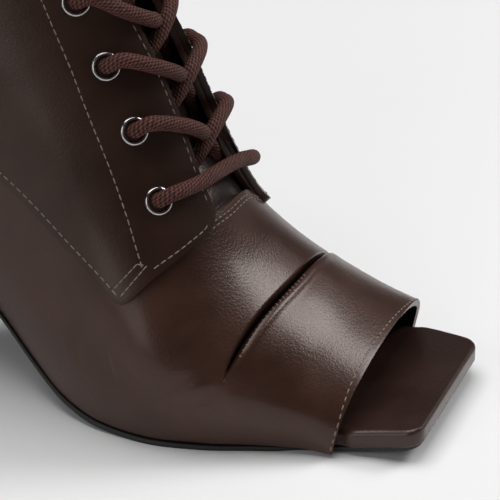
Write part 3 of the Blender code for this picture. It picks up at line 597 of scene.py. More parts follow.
def make_upper():
    """The wall as two grids. Cells between the facings are left out above the vamp's top edge."""
    rows = upper_rows()
    lateral, medial = throat(rows, -1.0), throat(rows, 1.0)
    share = np.linspace(0, 1, SIDE_COLUMNS + 1)
    left = -1 + (lateral[:, None] + 1) * share
    right = medial[:, None] + (1 - medial[:, None]) * share
    middle = lateral[:, None] + (medial - lateral)[:, None] * np.linspace(0, 1, THROAT_COLUMNS + 1)
    t = np.concatenate([left, middle[:, 1:-1], right], axis=1)
    s = np.broadcast_to(rows[:, None], t.shape)
    near_pleat = np.clip(1 - np.abs(s - PLEAT_ROW) / PLEAT_REACH, 0, 1)
    near_top = np.clip(1 - np.abs(s - THROAT) / VAMP_TOP_REACH, 0, 1)
    near_top = near_top * (1 - blend(*VAMP_TOP_FADES, np.abs(t)))
    s = s + (read(PLEAT, t) - PLEAT_ROW) * near_pleat
    s = s + (read(VAMP_TOP, t) - THROAT) * near_top
    lift = vamp_relief(s, t)
    outer = offset(s, t, lift)
    inner = offset(s, t, np.minimum(lift, 0) * FOLD_SHARE - WALL)
    inner[:, (0, -1), 2] = outer[:, (0, -1), 2]
    inner[:, (0, -1), 1] = outer[:, (0, -1), 1] - np.sign(outer[:, (0, -1), 1]) * WALL
    joined = rows >= SEAM_START
    for face in (inner, outer):
        face[joined, 0] = (face[joined, 0] + face[joined, -1]) / 2
    keep = np.ones((s.shape[0] - 1, s.shape[1] - 1), bool)
    keep[rows[:-1] >= THROAT - 0.01, SIDE_COLUMNS:SIDE_COLUMNS + THROAT_COLUMNS] = False
    # cells deep in the slit take the near-black finish: painted shade
    deep = (lift[:-1, :-1] + lift[1:, :-1] + lift[1:, 1:] + lift[:-1, 1:]) / 4 < FOLD_SHADE
    return leather_sheet("upper_leather", outer, inner, [LEATHER["vamp"], LEATHER["lining"], FOLD_PAINTED_SHADE],
                         ["upper"], keep, joined, shaded=deep)


upper = make_upper()
print("upper faces:", len(upper.data.polygons))

# %% [markdown]
# ## Quarters and facings
# Each quarter is one smoother, darker sheet laid over the upper, from the facing with its eyelets back to
# the seam behind the heel. Its lower edge is a line of (section, place) pairs, and a straight sweep from
# that line up to the collar fills the sheet. Its inner face sits on the upper, so no gap shows.

# %% Quarters
# share of the way along the lower edge, section and place
QUARTER_EDGE = np.array([
    (0.00, 4.30, 0.120), (0.05, 4.16, 0.150), (0.12, 4.30, 0.210), (0.20, 4.60, 0.300), (0.28, 4.93, 0.402),
    (0.33, 5.30, 0.415), (0.42, 6.01, 0.452), (0.54, 7.04, 0.500), (0.64, 8.00, 0.530), (0.72, 9.00, 0.560),
    (0.79, 10.0, 0.590), (0.85, 11.0, 0.630), (0.91, 12.0, 0.700), (0.96, 13.0, 0.830), (1.00, 13.7, 0.985),
])
QUARTER_INSIDE, QUARTER_OUTSIDE = 0.06, 2.1
FACING_SHARE = 0.28


def quarter_foot(along, side):
    """Section number of the lower edge: the table, less the inner side's drop, which fades to the back."""
    return read(QUARTER_EDGE, along) - drop(side) * (1 - blend(*DROP_FADES, along))


def make_quarter(name, side):
    """Sweeps the lower edge line up to the collar; the first column follows the facing's front edge."""
    along = np.concatenate([np.linspace(0, FACING_SHARE, 48), np.linspace(FACING_SHARE + 0.005, 1.0, 90)])
    up = np.linspace(0, 1, 120)
    edge_s = quarter_foot(along, side)
    edge_t = read(QUARTER_EDGE, along, 2)
    collar_t = abs(throat(COLLAR, side)[0])
    share = (blend(0.0, 1.0, along) + along) / 2
    top_t = collar_t + (edge_t[-1] - collar_t) * share
    s = edge_s + (COLLAR - edge_s) * up[:, None]
    t = edge_t + (top_t - edge_t) * up[:, None]
    front = np.abs(throat(s[:, 0], side))
    t = t + (front - t[:, 0])[:, None] * np.clip(1 - along / FACING_SHARE, 0, 1) ** 2
    outer = offset(s, side * t, np.full(s.shape, QUARTER_OUTSIDE))
    inner = offset(s, side * t, np.full(s.shape, QUARTER_INSIDE))
    return leather_sheet(name + "_leather", outer, inner, [LEATHER["quarter"]], [name])


for name, side in (("quarter_lateral", -1.0), ("quarter_medial", 1.0)):
    print(name, "faces:", len(make_quarter(name, side).data.polygons))

# %% [markdown]
# ## Back strip
# Where the two quarters meet behind the ankle, a narrow strip of the same leather covers the seam. It could
# be cut from a flat strip and wrapped on, but read from the same skin, either side of the seam, it can't
# come away from what it covers.

# %% Back strip
STRIP_HALF, STRIP_OUTSIDE, STRIP_FOOT = 0.085, 3.0, 13.45


def make_back_strip():
    """A band either side of the back seam: its place runs from the outer side, through the seam, to the
    inner side."""
    across = np.linspace(-1, 1, 33)
    s = np.broadcast_to(np.linspace(STRIP_FOOT, COLLAR, 90)[:, None], (90, 33))
    t = np.where(across < 0, -1 - across * STRIP_HALF, 1 - across * STRIP_HALF) * np.ones_like(s)
    outer = offset(s, t, np.full(s.shape, STRIP_OUTSIDE))
    inner = offset(s, t, np.full(s.shape, QUARTER_INSIDE))
    return leather_sheet("back_strip", outer, inner, [LEATHER["quarter"]], [])


print("back strip faces:", len(make_back_strip().data.polygons))

# %% [markdown]
# ## Tongue
# The tongue is a soft smooth sheet that starts behind the vamp's top edge and stands a little above the
# collar. It lies deeper than the wall, so that the lace has room to run between the two.

# %% Tongue
TONGUE, TONGUE_GAP, TONGUE_SUNK, TONGUE_MARGIN = 1.8, 0.6, 4.7, 9.0
TONGUE_START, TONGUE_SINKS, TONGUE_ROUND = 3.9, (4.2, 5.4), 0.45


def tongue_depth(s):
    """How far the tongue's outer face lies under the skin: close at its foot, deeper along the lacing."""
    return WALL + TONGUE_GAP + (TONGUE_SUNK - TONGUE_GAP) * blend(*TONGUE_SINKS, s)


def make_tongue():
    """Rows up the shaft and columns across, held to a margin beyond the facings' edges."""
    s = np.linspace(TONGUE_START, TONGUE_TOP, 120)
    across = np.linspace(-1, 1, 41)
    left, right = throat(s, -1.0, TONGUE_MARGIN), throat(s, 1.0, TONGUE_MARGIN)
    t = np.where(across < 0, -left[:, None] * across, right[:, None] * across)
    s = np.broadcast_to(s[:, None], t.shape)
    s = s - TONGUE_ROUND * np.abs(across) ** 6 * blend(COLLAR, TONGUE_TOP, s)
    outer = offset(s, t, -tongue_depth(s))
    inner = offset(s, t, -tongue_depth(s) - TONGUE)
    finishes = [LEATHER["tongue"], LEATHER["lining"]]
    return leather_sheet("tongue_leather", outer, inner, finishes, ["tongue"])


print("tongue faces:", len(make_tongue().data.polygons))

# %% [markdown]
# ## Soles
# Under the foot are a leather covered footbed, thick and square at the open toe, and a thin rubber outsole
# set in beneath it. Both are sweeps of straight lines across the sole. Near the edge the top face falls
# away along a quarter circle, which is what makes the platform's rim catch the light.

# %% Footbed and outsole
OUTSOLE, SOLE_GAP, INSOLE_TOE, INSOLE_HEEL = 1.5, 0.5, 5.0, 2.6
INSIDE_WALL, TOE_STEP, SOLE_LINES = WALL + 1.6, (92.0, 97.0), 240
FOOTBED_SUNK, FOOTBED_START, FOOTBED_EDGE, FOOTBED_GROWS = 0.4, -103.9, 1.7, (20, 88)
OUTSOLE_START, OUTSOLE_EDGE, OUTSOLE_INSET, OUTSOLE_STEP = -111.6, 0.5, 1.2, (74, 82)


def sole_plan(x_start, x_end, count, inset):
    """Lines across the sole, closest together at both ends: x, outer y and inner y, toe corners rounded."""
    x = x_start + (x_end - x_start) * (0.5 - 0.5 * np.cos(np.linspace(0, math.pi, count)))
    into = np.clip((x - (x_end - TOE_CORNER)) / TOE_CORNER, 0, 1)
    corner = TOE_CORNER * (1 - np.sqrt(np.clip(1 - into**2, 0, 1)))
    return x, sole_edge(x, -1.0) + inset(x) + corner, sole_edge(x, 1.0) - inset(x) - corner


def round_over(gap, radius):
    """Fall of a quarter circle: radius minus the height of the circle at this distance from the edge."""
    return radius - np.sqrt(np.maximum(radius**2 - np.clip(radius - gap, 0, radius) ** 2, 0))


def sole_piece(name, plan, low, high, radius, finishes, nodes):
    """A layer of sole from low to high, with its top and bottom edges rounded by radius."""
    x, outer_y, inner_y = plan
    share = 0.5 - 0.5 * np.cos(np.linspace(0, math.pi, 61))
    y = outer_y[:, None] + (inner_y - outer_y)[:, None] * share
    xs = np.broadcast_to(x[:, None], y.shape)
    gap = np.minimum(np.minimum(y - outer_y[:, None], inner_y[:, None] - y), x[-1] - xs)
    top = np.stack([xs, y, high(xs) - round_over(gap, radius)], -1)
    bottom = np.stack([xs, y, low(xs) + round_over(gap, radius * 0.45)], -1)
    return leather_sheet(name, top, bottom, finishes, nodes, edge_radius=0.3)


def footbed_inset(x):
    """Inside the wall under the foot, and out to the full plan at the open toe."""
    first = SECTIONS[:12][::-1]
    return (INSIDE_WALL - smooth(first[:, 3], first[:, 5], x)) * (1 - blend(*TOE_STEP, x))


def footbed_low(x):
    """Underside of the footbed."""
    return tread(x) + OUTSOLE + SOLE_GAP - FOOTBED_SUNK


def footbed_high(x):
    """Top of the footbed: 5 mm at the toe, 2.6 mm under the heel."""
    thick = INSOLE_HEEL + (INSOLE_TOE - INSOLE_HEEL) * blend(*FOOTBED_GROWS, x)
    return footbed_low(x) + FOOTBED_SUNK + thick


def outsole_inset(x):
    """Full plan under the foot, set in under the toe platform."""
    return OUTSOLE_INSET * blend(*OUTSOLE_STEP, x)


def outsole_high(x):
    """Top of the outsole."""
    return tread(x) + OUTSOLE


footbed_plan = sole_plan(FOOTBED_START, TOE_END, SOLE_LINES, footbed_inset)
footbed = sole_piece("footbed", footbed_plan, footbed_low, footbed_high, FOOTBED_EDGE,
                     [LEATHER["footbed"]], ["insole"])
outsole_plan = sole_plan(OUTSOLE_START, TOE_END - OUTSOLE_INSET, SOLE_LINES, outsole_inset)
outsole = sole_piece("outsole_rubber", outsole_plan, tread, outsole_high, OUTSOLE_EDGE,
                     [SOLE_RUBBER], ["outsole"])
print("footbed faces:", len(footbed.data.polygons), "outsole faces:", len(outsole.data.polygons))

# %% [markdown]
# ## Heel
# The heel is a hard core covered in leather, with a rubber tip. Its plan is a rounded block, straight in
# front: a power of the cosine and sine squares a circle's corners. Rings at rising heights, each a little
# larger, make the flare, and the top ones follow the slope of the sole.

# %% Heel and tip
# share of the height, x in front, x behind and half the width
HEEL_SECTIONS = np.array([
    (0.0, -83.0, -108.0, 13.5), (0.35, -81.0, -108.6, 14.0), (0.7, -74.5, -109.6, 17.0),
    (0.88, -68.5, -110.4, 20.2), (1.0, -64.0, -111.0, 22.4),
])
HEEL_SIDES, HEEL_ROWS, TOP_PIECE, GAP = 120, 60, 5.0, 0.3
# the tip's rings: share of the plan and height
TIP_PROFILE = (
    (0.94, 0.0), (0.985, 0.15), (1.0, 0.6),
    (1.0, TOP_PIECE - 0.5), (0.985, TOP_PIECE - 0.1), (0.94, TOP_PIECE),
)


def heel_outline(share):
    """Plan at a share of the height: centre plus half size times signed power of cosine and sine."""
    turn = turns(HEEL_SIDES) + math.pi / HEEL_SIDES
    front, back, half = (read(HEEL_SECTIONS, share, i) for i in (1, 2, 3))
    power = np.where(np.cos(turn) > 0, 0.40, 0.72)
    x = (front + back) / 2 + (front - back) / 2 * np.sign(np.cos(turn)) * np.abs(np.cos(turn)) ** power
    y = half * np.sign(np.sin(turn)) * np.abs(np.sin(turn)) ** power
    return x, y


def shrink(ring, share):
    """The ring drawn in towards its middle."""
    return ring.mean(0) + (ring - ring.mean(0)) * share


def make_heel():
    """Rings from the tip to the seat, then inward rings that follow the sole."""
    foot = TOP_PIECE + GAP
    rings = []
    for share in np.linspace(0, 1, HEEL_ROWS):
        x, y = heel_outline(share)
        rings.append(np.stack([x, y, foot + share * (tread(x) - GAP - foot)], -1))
    seat = rings[-1]
    rings = [shrink(rings[0], 0.96)] + rings
    for share in (0.98, 0.8, 0.6, 0.4, 0.2, 0.05):
        ring = shrink(seat, share)
        ring[:, 2] = tread(ring[:, 0]) - GAP
        rings.append(ring)
    return ring_stack("heel_cover", np.array(rings), [LEATHER["heel"]], ["heel"])


def make_tip():
    """The rubber tip: a short block with softened edges."""
    x, y = heel_outline(0.0)
    flat = np.stack([x, y, np.zeros_like(x)], -1)
    rings = np.array([shrink(flat, share) + (0, 0, height) for share, height in TIP_PROFILE])
    return ring_stack("heel_tip", rings, [TIP_RUBBER], ["heel_top_piece"])


print("heel faces:", len(make_heel().data.polygons), "tip faces:", len(make_tip().data.polygons))

# %% [markdown]
# ## Eyelets
# A shoe eyelet is a rolled metal ring with a short funnel into the hole. Its cross section is a profile of
# radius and height, carried round a circle that lies flat on the facing.

# %% Eyelets
# section and arc from the ridge, from the vamp up
EYELETS = np.array([
    (5.4, 30.0), (6.44, 26.6), (7.49, 24.6), (8.79, 23.2), (11.1, 22.6), (13.4, 22.4), (14.95, 22.4),
    (16.2, 22.4),
])
# radius and height over the facing, in mm, as a closed line
EYELET_PROFILE = np.array([
    (3.0, 0.35), (3.15, 0.62), (3.45, 0.78), (3.75, 0.72), (4.0, 0.5), (4.12, 0.2), (4.1, 0.02),
    (3.4, 0.0), (2.95, -0.4), (2.85, -1.6), (2.65, -1.6), (2.72, -0.2),
])
EYELET_SIDES = 40


def facing_frame(s, arc):
    """Centre on the facing, normal, and the direction up the shaft, at a section and arc."""
    t = at_arc(s, arc)
    s = np.atleast_1d(np.asarray(s, float))
    normal = outward(s, t)
    upward = along_skin(s, t)
    upward = unit(upward - normal * np.sum(upward * normal, -1, keepdims=True))
    return offset(s, t, np.full(len(t), QUARTER_OUTSIDE)), normal, upward


def make_eyelet(name, s, arc):
    """Carries the profile round the hole: centre + radius x circle + height x normal."""
    centre, normal, upward = (v[0] for v in facing_frame(s, arc))
    turn = turns(EYELET_SIDES)
    circle = np.cos(turn)[:, None] * np.cross(upward, normal) + np.sin(turn)[:, None] * upward
    points = centre + EYELET_PROFILE[:, :1, None] * circle + EYELET_PROFILE[:, 1:, None] * normal
    number = np.arange(points.shape[0] * EYELET_SIDES).reshape(-1, EYELET_SIDES)
    down, turned = np.roll(number, -1, axis=0), np.roll(number, -1, axis=1)
    quads = np.stack([number, turned, np.roll(down, -1, axis=1), down], -1).reshape(-1, 4)
    return piece_from(name + "_ring", points, quads, [EYELET_METAL], [name])


for index, (s, arc) in enumerate(EYELETS):
    make_eyelet(f"eyelet_lateral_{index + 1}", s, -arc)
    make_eyelet(f"eyelet_medial_{index + 1}", s - MEDIAL_DROP, arc)
print("eyelets:", 2 * len(EYELETS))

# %% [markdown]
# ## Lace
# One round braided lace lies across the lowest pair of eyelets, goes inside, and each half then comes out
# from under its facing, crosses to the other side and goes in through the next eyelet. The route is a list
# of (section, arc, lift) stops; a curve through them is carried out with a round section. The braid is
# relief on a pattern that follows the cord: distance along it one way, turn around it the other.


# %% Route of the lace
LACE_RADIUS = 2.2
OVER, UNDER = QUARTER_OUTSIDE + LACE_RADIUS + 0.15, -WALL - LACE_RADIUS - 0.2
LACE_SIDES, LACE_STEP, UP_WEIGHT = 20, 0.55, 5.0


def strand(index, side):
    """Stops from inside one eyelet to the outside of the next one on the other side. The strand from the
    outer side (-1) rises over the other where they cross; the other dives under it."""
    (s0, arc0), (s1, arc1) = EYELETS[index], EYELETS[index + 1]
    rise = s1 - s0
    edge = facing_edge(s0, -1.0)
    s0, s1 = s0 - drop(side), s1 - drop(-side)
    inside = [
        (s0, side * (arc0 - 0.1), -0.4),
        (s0 - 0.03 * rise, side * (arc0 - 2.2), UNDER + 0.9),
    ]
    outside = [
        (s1 - 0.02 * rise, -side * (arc1 - 3.2), OVER + 0.5),
        (s1, -side * (arc1 - 0.5), QUARTER_OUTSIDE + 0.9),
    ]
    if side < 0:
        return inside + [
            (s0 - 0.12 * rise, -(arc0 + edge) / 2, UNDER), (s0 - 0.23 * rise, -9.5, UNDER + 0.9),
            (s0 + 0.11 * rise, 1.0, 2.2), (s1 - 0.19 * rise, 13.0, OVER + 0.3),
            (s1 - 0.10 * rise, (arc1 + 13.0) / 2, OVER + 0.6),
        ] + outside
    return inside + [
        (s0 + 0.10 * rise, (arc0 + edge) / 2, UNDER), (s0 + 0.26 * rise, 8.5, UNDER + 0.5),
        (s0 + 0.50 * rise, 1.5, -3.0), (s1 - 0.80 * rise, -6.0, 2.4), (s1 - 0.42 * rise, -14.0, OVER + 0.4),
    ] + outside


def lace_stops():
    """One half backwards, the bar across the lowest eyelets, then the other half."""
    halves = []
    for first in (-1.0, 1.0):
        side, line = first, []
        for index in range(len(EYELETS) - 1):
            line += strand(index, side)
            side = -side
        s, arc = EYELETS[-1] - (drop(side), 0)
        line.append((s, side * arc, -0.5))
        line.append((s + 0.1, side * (arc - 3.0), UNDER + 0.5))
        line.append((s + 0.3, side * (arc - 7.0), UNDER))
        halves.append(line)
    s, arc = EYELETS[0]
    bar = [
        (s, -arc + 0.5, QUARTER_OUTSIDE + 0.9), (s - 0.06, -arc + 3.2, OVER + 0.5),
        (s - 0.34, -17.0, OVER), (s - 0.55, -6.0, 3.0), (s - 0.70, 6.0, 2.4), (s - 0.74, 16.0, OVER),
        (s - 0.60, arc - 3.2, OVER + 0.5), (s - MEDIAL_DROP, arc - 0.5, QUARTER_OUTSIDE + 0.9),
    ]
    return np.array(halves[0][::-1] + bar + halves[1])


def curve_through(stops, step):
    """Hermite curve whose slope at a stop is the chord between its neighbours, by distance, then evened."""
    way = np.concatenate([[0], np.cumsum(np.linalg.norm(np.diff(stops, axis=0), axis=1) ** 0.7)])
    slope = np.gradient(stops, way, axis=0)
    at = np.linspace(0, way[-1], 12 * len(stops))
    k = np.clip(np.searchsorted(way, at, side="right") - 1, 0, len(way) - 2)
    span = (way[k + 1] - way[k])[:, None]
    u = ((at - way[k]) / (way[k + 1] - way[k]))[:, None]
    line = (2 * u**3 - 3 * u**2 + 1) * stops[k] + (3 * u**2 - 2 * u**3) * stops[k + 1]
    line = line + span * ((u**3 - 2 * u**2 + u) * slope[k] + (u**3 - u**2) * slope[k + 1])
    length = lengths(line)
    even = np.linspace(0, length[-1], int(length[-1] / step))
    return interpolate(even, length, line)


stops = lace_stops()
stop_t = at_arc(stops[:, 0], np.where(stops[:, 1] == 0, 1e-6, stops[:, 1]))
stop_points = offset(stops[:, 0], stop_t, stops[:, 2])
stop_up = unit(along_skin(stops[:, 0], stop_t))
lace_path = curve_through(np.concatenate([stop_points, stop_up * UP_WEIGHT], 1), LACE_STEP)
lace_length = lengths(lace_path[:, :3])[-1]
print("lace stops:", len(stops), "length in mm:", round(float(lace_length), 1))


# %% Braided cord
# millimetres along the cord for one wave, and waves round it, for the fine and the wide slant
FINE_SLANT, WIDE_SLANT = (1.5, 9), (3.0, -5)


def maths(tree, operation, *values):
    """A Math node on numbers or on the outputs of other nodes."""
    made = node(tree, "ShaderNodeMath", operation=operation)
    for socket, value in zip(made.inputs, values):
        if isinstance(value, bpy.types.NodeSocket):
            tree.links.new(value, socket)
        else:
            socket.default_value = value
    return made.outputs[0]


def slanted_wave(tree, along, turn, wave_length, waves):
    """Sine of a weighted sum of the distance along the cord and the turn round it."""
    first = maths(tree, "MULTIPLY", along, 2 * math.pi / wave_length)
    second = maths(tree, "MULTIPLY", turn, 2 * math.pi * waves)
    return maths(tree, "SINE", maths(tree, "ADD", first, second))


def braid(name, dark, light):
    """Woven cord: the product of two slanted sines makes the over and under of a braid."""
    made, shader, tree = finish(name, dark, 0.75, Specular_IOR_Level=0.25)
    flat = node(tree, "ShaderNodeUVMap", uv_map="pattern")
    parts = node(tree, "ShaderNodeSeparateXYZ", in_Vector=flat.outputs["UV"])
    along, turn = parts.outputs["X"], parts.outputs["Y"]
    one = slanted_wave(tree, along, turn, *FINE_SLANT)
    other = slanted_wave(tree, along, turn, *WIDE_SLANT)
    level = node(tree, "ShaderNodeMapRange", in_From_Min=-1.0, in_From_Max=1.0, in_To_Min=0.0, in_To_Max=1.0,
                 in_Value=maths(tree, "MULTIPLY", one, other))
    speck = node(tree, "ShaderNodeTexNoise", in_Scale=1500.0, in_Detail=2.0, in_Vector=place_on(tree))
    braid_height_and_shade = maths(tree, "MULTIPLY", level.outputs["Result"], speck.outputs["Fac"])
    # colour follows the braid's height: painted shade in the hollows, with random specks
    tones(tree, shader, braid_height_and_shade, dark, light, 0.10, 0.48)
    relief(tree, shader, braid_height_and_shade, 0.45)
    return made


LACE_CORD = braid("lace_cord", (0.014, 0.0045, 0.0035), (0.150, 0.054, 0.041))


def make_lace():
    """Carries a circle along the path: side and up come from the shaft's direction at each place."""
    centre, upward = lace_path[:, :3], lace_path[:, 3:]
    tangent = unit(np.gradient(centre, axis=0))
    first = unit(upward - tangent * np.sum(upward * tangent, -1, keepdims=True))
    second = np.cross(tangent, first)
    turn = turns(LACE_SIDES)[:, None]
    circle = np.cos(turn) * first[:, None] + np.sin(turn) * second[:, None]
    rings = centre[:, None] + LACE_RADIUS * circle
    i, j = np.meshgrid(np.arange(len(rings) - 1), np.arange(LACE_SIDES), indexing="ij")
    corners = [(i, j), (i, j + 1), (i + 1, j + 1), (i + 1, j)]
    uv = np.stack([np.stack([a * LACE_STEP, b / LACE_SIDES], -1) for a, b in corners], 2)
    nodes = ["lace_bar"] + [f"lace_crossing_{k + 1}" for k in range(len(EYELETS) - 1)]
    return ring_stack("lace", rings, [LACE_CORD], nodes, uv=uv)


print("lace faces:", len(make_lace().data.polygons))

# %% [markdown]
# ## Stitches
# Every seam of the upper is sewn with a light waxed thread. One stitch is a small capsule laid along the
# seam, and a seam is hundreds of copies placed by arrays: the line is measured, cut into equal steps, and
# each step gives a centre, a direction and a normal. Between two stitches a small near-black capsule is
# painted shade for the needle hole.

# %% Rows of stitches
CAPSULE_WAY = np.array([-1.0, -0.86, -0.45, 0.0, 0.45, 0.86, 1.0])
CAPSULE_WIDE = np.array([0.25, 0.72, 0.96, 1.0, 0.96, 0.72, 0.25])


def sewn_line(s, arc=None, t=None, lift=QUARTER_OUTSIDE, pitch=2.9):
    """Centres, directions and normals every pitch millimetres along a line on the skin."""
    dense = np.linspace(0, 1, 400)
    knots = np.linspace(0, 1, len(s))
    s_line = smooth(knots, s, dense)
    t_line = at_arc(s_line, smooth(knots, arc, dense)) if t is None else smooth(knots, t, dense)
    height = lift(s_line, t_line) if callable(lift) else np.full(len(dense), lift)
    line, normal = offset(s_line, t_line, height), outward(s_line, t_line)
    way = lengths(line)
    stop = np.arange(pitch / 2, way[-1] - pitch / 2, pitch)
    centre, ahead = interpolate(stop, way, line), interpolate(stop + 0.2, way, line)
    return centre, unit(ahead - centre), unit(interpolate(stop, way, normal))


def capsules(name, rows, thread, length, radius, proud):
    """Capsules in one mesh: centre + way x half length x direction + circle x radius."""
    centre, along, normal = (np.concatenate(parts) for parts in zip(*rows))
    side = np.cross(along, normal)
    turn = turns(6)
    circle = np.cos(turn)[:, None, None] * side + np.sin(turn)[:, None, None] * normal
    way, wide = CAPSULE_WAY[:, None, None], radius * CAPSULE_WIDE[:, None, None, None]
    spine = way * along * length / 2 - np.abs(way) ** 3 * normal * radius * 0.5
    rings = centre + proud * normal + spine[:, None] + wide * circle[None]
    points = rings.transpose(2, 0, 1, 3)
    number = np.arange(points[..., 0].size).reshape(points.shape[:3])
    turned = np.roll(number, -1, axis=2)
    walls = np.stack([number[:, :-1], turned[:, :-1], turned[:, 1:], number[:, 1:]], -1).reshape(-1, 4)
    first, last = number[:, 0, ::-1], number[:, -1]
    caps = [ring[:, pick] for ring in (first, last) for pick in ([0, 1, 2, 3], [0, 3, 4, 5])]
    return piece_from(name, points, np.concatenate([walls, *caps]), [thread], [])


def between(row):
    """Needle holes: halfway from each stitch to the next."""
    centre, along, normal = row
    return (centre[1:] + centre[:-1]) / 2, along[1:], normal[1:]


# %% Seams of the quarters
# sections of the seam beside the facing's edge; the seam behind the eyelets as section and arc
FRONT_SEAM_S = np.array([4.6, 5.2, 6.2, 7.2, 8.4, 10.0, 12.0, 14.0, 16.0, 16.85])
REAR_SEAM = np.array([
    (4.92, 44.4), (5.2, 42.8), (5.63, 40.4), (6.34, 37.4), (7.01, 35.3), (7.76, 32.9), (8.48, 31.8),
    (9.22, 31.0), (11.0, 30.4), (13.0, 30.2), (15.0, 30.2), (16.85, 30.2),
])
# the small box that holds the facing's corner: ends of each side, section and place
BOX_SEAM = np.array([
    [(5.05, 0.322), (5.16, 0.398)], [(4.88, 0.306), (4.99, 0.392)],
    [(5.05, 0.322), (4.88, 0.306)], [(5.16, 0.398), (4.99, 0.392)],
])
seams = []
for side in (-1.0, 1.0):
    front_s = FRONT_SEAM_S - drop(side)
    seams.append(sewn_line(front_s, arc=side * (facing_edge(front_s, side) + 1.7), pitch=2.9))
    seams.append(sewn_line(REAR_SEAM[:, 0] - drop(side), arc=side * REAR_SEAM[:, 1], pitch=2.45))
    way = np.linspace(0.29, 0.995, 40)
    lower_t = read(QUARTER_EDGE, way, 2)
    seams.append(sewn_line(quarter_foot(way, side) + 0.06, t=side * (lower_t - 0.012), pitch=2.45))
    way = np.linspace(0.04, 0.205, 24)
    foot_t = read(QUARTER_EDGE, way, 2)
    seams.append(sewn_line(quarter_foot(way, side) + 0.13, t=side * (foot_t - 0.004), pitch=2.45))
    for ends in BOX_SEAM:
        seams.append(sewn_line(ends[:, 0] - drop(side), t=side * ends[:, 1], pitch=1.9))
    seams.append(sewn_line([COLLAR - 0.09] * 3, t=side * np.array([0.16, 0.5, 0.91]), pitch=2.6))
    strip_t = side * (1 - STRIP_HALF + 0.016)
    strip_s = [STRIP_FOOT + 0.08, COLLAR - 0.05]
    seams.append(sewn_line(strip_s, t=[strip_t, strip_t], lift=STRIP_OUTSIDE, pitch=2.45))
capsules("quarter_stitches", seams, THREAD, length=1.9, radius=0.21, proud=0.02)
# near-black capsules at the needle holes: painted shade in the holes
holes = [between(row) for row in seams]
capsules("quarter_stitch_holes", holes, STITCH_HOLE_SHADE, length=0.8, radius=0.22, proud=-0.08)
print("quarter stitches:", sum(len(row[0]) for row in seams))

# %% Seams of the vamp
# section and place of the seam round the toe opening
OPENING_SEAM = np.array([
    (0.06, -0.92), (0.06, -0.769), (0.05, -0.438), (0.10, -0.338), (0.15, -0.247), (0.16, -0.17),
    (0.16, -0.102), (0.14, 0.0), (0.09, 0.119), (0.04, 0.256), (0.05, 0.45), (0.06, 0.7), (0.06, 0.92),
])
TOP_SEAM_T = np.array([-0.125, -0.04, 0.05, 0.125])
top_s = read(VAMP_TOP, TOP_SEAM_T)
vamp_seams = [
    sewn_line(OPENING_SEAM[:, 0], t=OPENING_SEAM[:, 1], lift=vamp_relief, pitch=2.6),
    sewn_line(top_s - 0.12, t=TOP_SEAM_T, lift=vamp_relief, pitch=2.2),
    sewn_line(top_s - 0.22, t=TOP_SEAM_T, lift=vamp_relief, pitch=2.2),
]
capsules("vamp_stitches", vamp_seams, THREAD, length=1.6, radius=0.23, proud=0.04)
# near-black capsules at the needle holes: painted shade in the holes
holes = [between(row) for row in vamp_seams]
capsules("vamp_stitch_holes", holes, STITCH_HOLE_SHADE, length=0.7, radius=0.20, proud=-0.08)
print("vamp stitches:", sum(len(row[0]) for row in vamp_seams))

# %% Stitches across the pleat's lip
pleat_t = np.linspace(-0.335, -0.03, 60)
pleat_s = read(PLEAT, pleat_t) - 0.035
centre, along, normal = sewn_line(pleat_s, t=pleat_t, lift=vamp_relief, pitch=1.9)
across_lip = [(centre, unit(np.cross(along, normal)), normal)]
capsules("pleat_stitches", across_lip, THREAD, length=1.0, radius=0.16, proud=0.0)
print("pleat stitches:", len(centre))

# %% [markdown]
# ## Floor, light and camera
# The shoe stands on a pale, seamless floor under large soft lights, as in a plain product photograph. A
# long lens from a low three-quarter angle keeps the shoe's shape without stretching what is near.

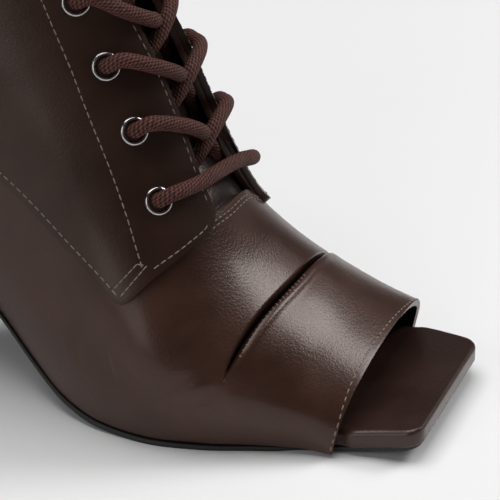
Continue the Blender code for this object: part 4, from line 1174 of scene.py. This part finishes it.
# %% Floor
FLOOR_HALF = 3.0
floor_mesh = bpy.data.meshes.new("floor")
floor_corners = FLOOR_HALF * np.array([(-1, -1, 0), (1, -1, 0), (1, 1, 0), (-1, 1, 0)])
floor_mesh.from_pydata(floor_corners.tolist(), [], [(0, 1, 2, 3)])
FLOOR_PAPER, _, _ = finish("floor_paper", (0.87, 0.87, 0.87), 0.8)
floor_mesh.materials.append(FLOOR_PAPER)
floor = bpy.data.objects.new("floor", floor_mesh)
bpy.context.scene.collection.objects.link(floor)

# %% Lights and camera
AZIMUTH, ELEVATION, DISTANCE = math.radians(21.4), math.radians(27.0), 0.750
TARGET = np.array([0.04343, 0.02761, 0.030])
LENS, SENSOR = 178.2, 36.0


def softbox(name, place, aim, size, power):
    """A square area light turned towards a point."""
    lamp = bpy.data.lights.new(name, "AREA")
    lamp.shape = "SQUARE"
    lamp.size = size
    lamp.energy = power
    thing = bpy.data.objects.new(name, lamp)
    thing.location = place
    direction = Vector(aim) - Vector(place)
    thing.rotation_euler = direction.to_track_quat("-Z", "Y").to_euler()
    bpy.context.scene.collection.objects.link(thing)


softbox("far_toe_side", (0.80, 0.72, 0.92), (0.05, 0.0, 0.05), 0.55, 8.5)
softbox("overhead", (-0.1, 0.0, 1.5), (0.03, 0.0, 0.05), 1.2, 17.0)
softbox("front_left", (-0.35, -1.25, 0.60), (0.03, 0.0, 0.06), 0.9, 4.5)
world = bpy.data.worlds.new("studio")
world.use_nodes = True
fill = world.node_tree.nodes["Background"].inputs
fill["Color"].default_value = (1.0, 1.0, 1.0, 1.0)
fill["Strength"].default_value = 0.06
bpy.context.scene.world = world
bpy.context.scene.view_settings.view_transform = "Standard"

back = np.array([
    math.sin(AZIMUTH) * math.cos(ELEVATION), -math.cos(AZIMUTH) * math.cos(ELEVATION), math.sin(ELEVATION),
])
lens = bpy.data.cameras.new("camera")
lens.lens = LENS
lens.sensor_width = SENSOR
camera = bpy.data.objects.new("camera", lens)
camera.location = TARGET + back * DISTANCE
camera.rotation_mode = "QUATERNION"
camera.rotation_quaternion = Vector(-back).to_track_quat("-Z", "Y")
bpy.context.scene.collection.objects.link(camera)
bpy.context.scene.camera = camera
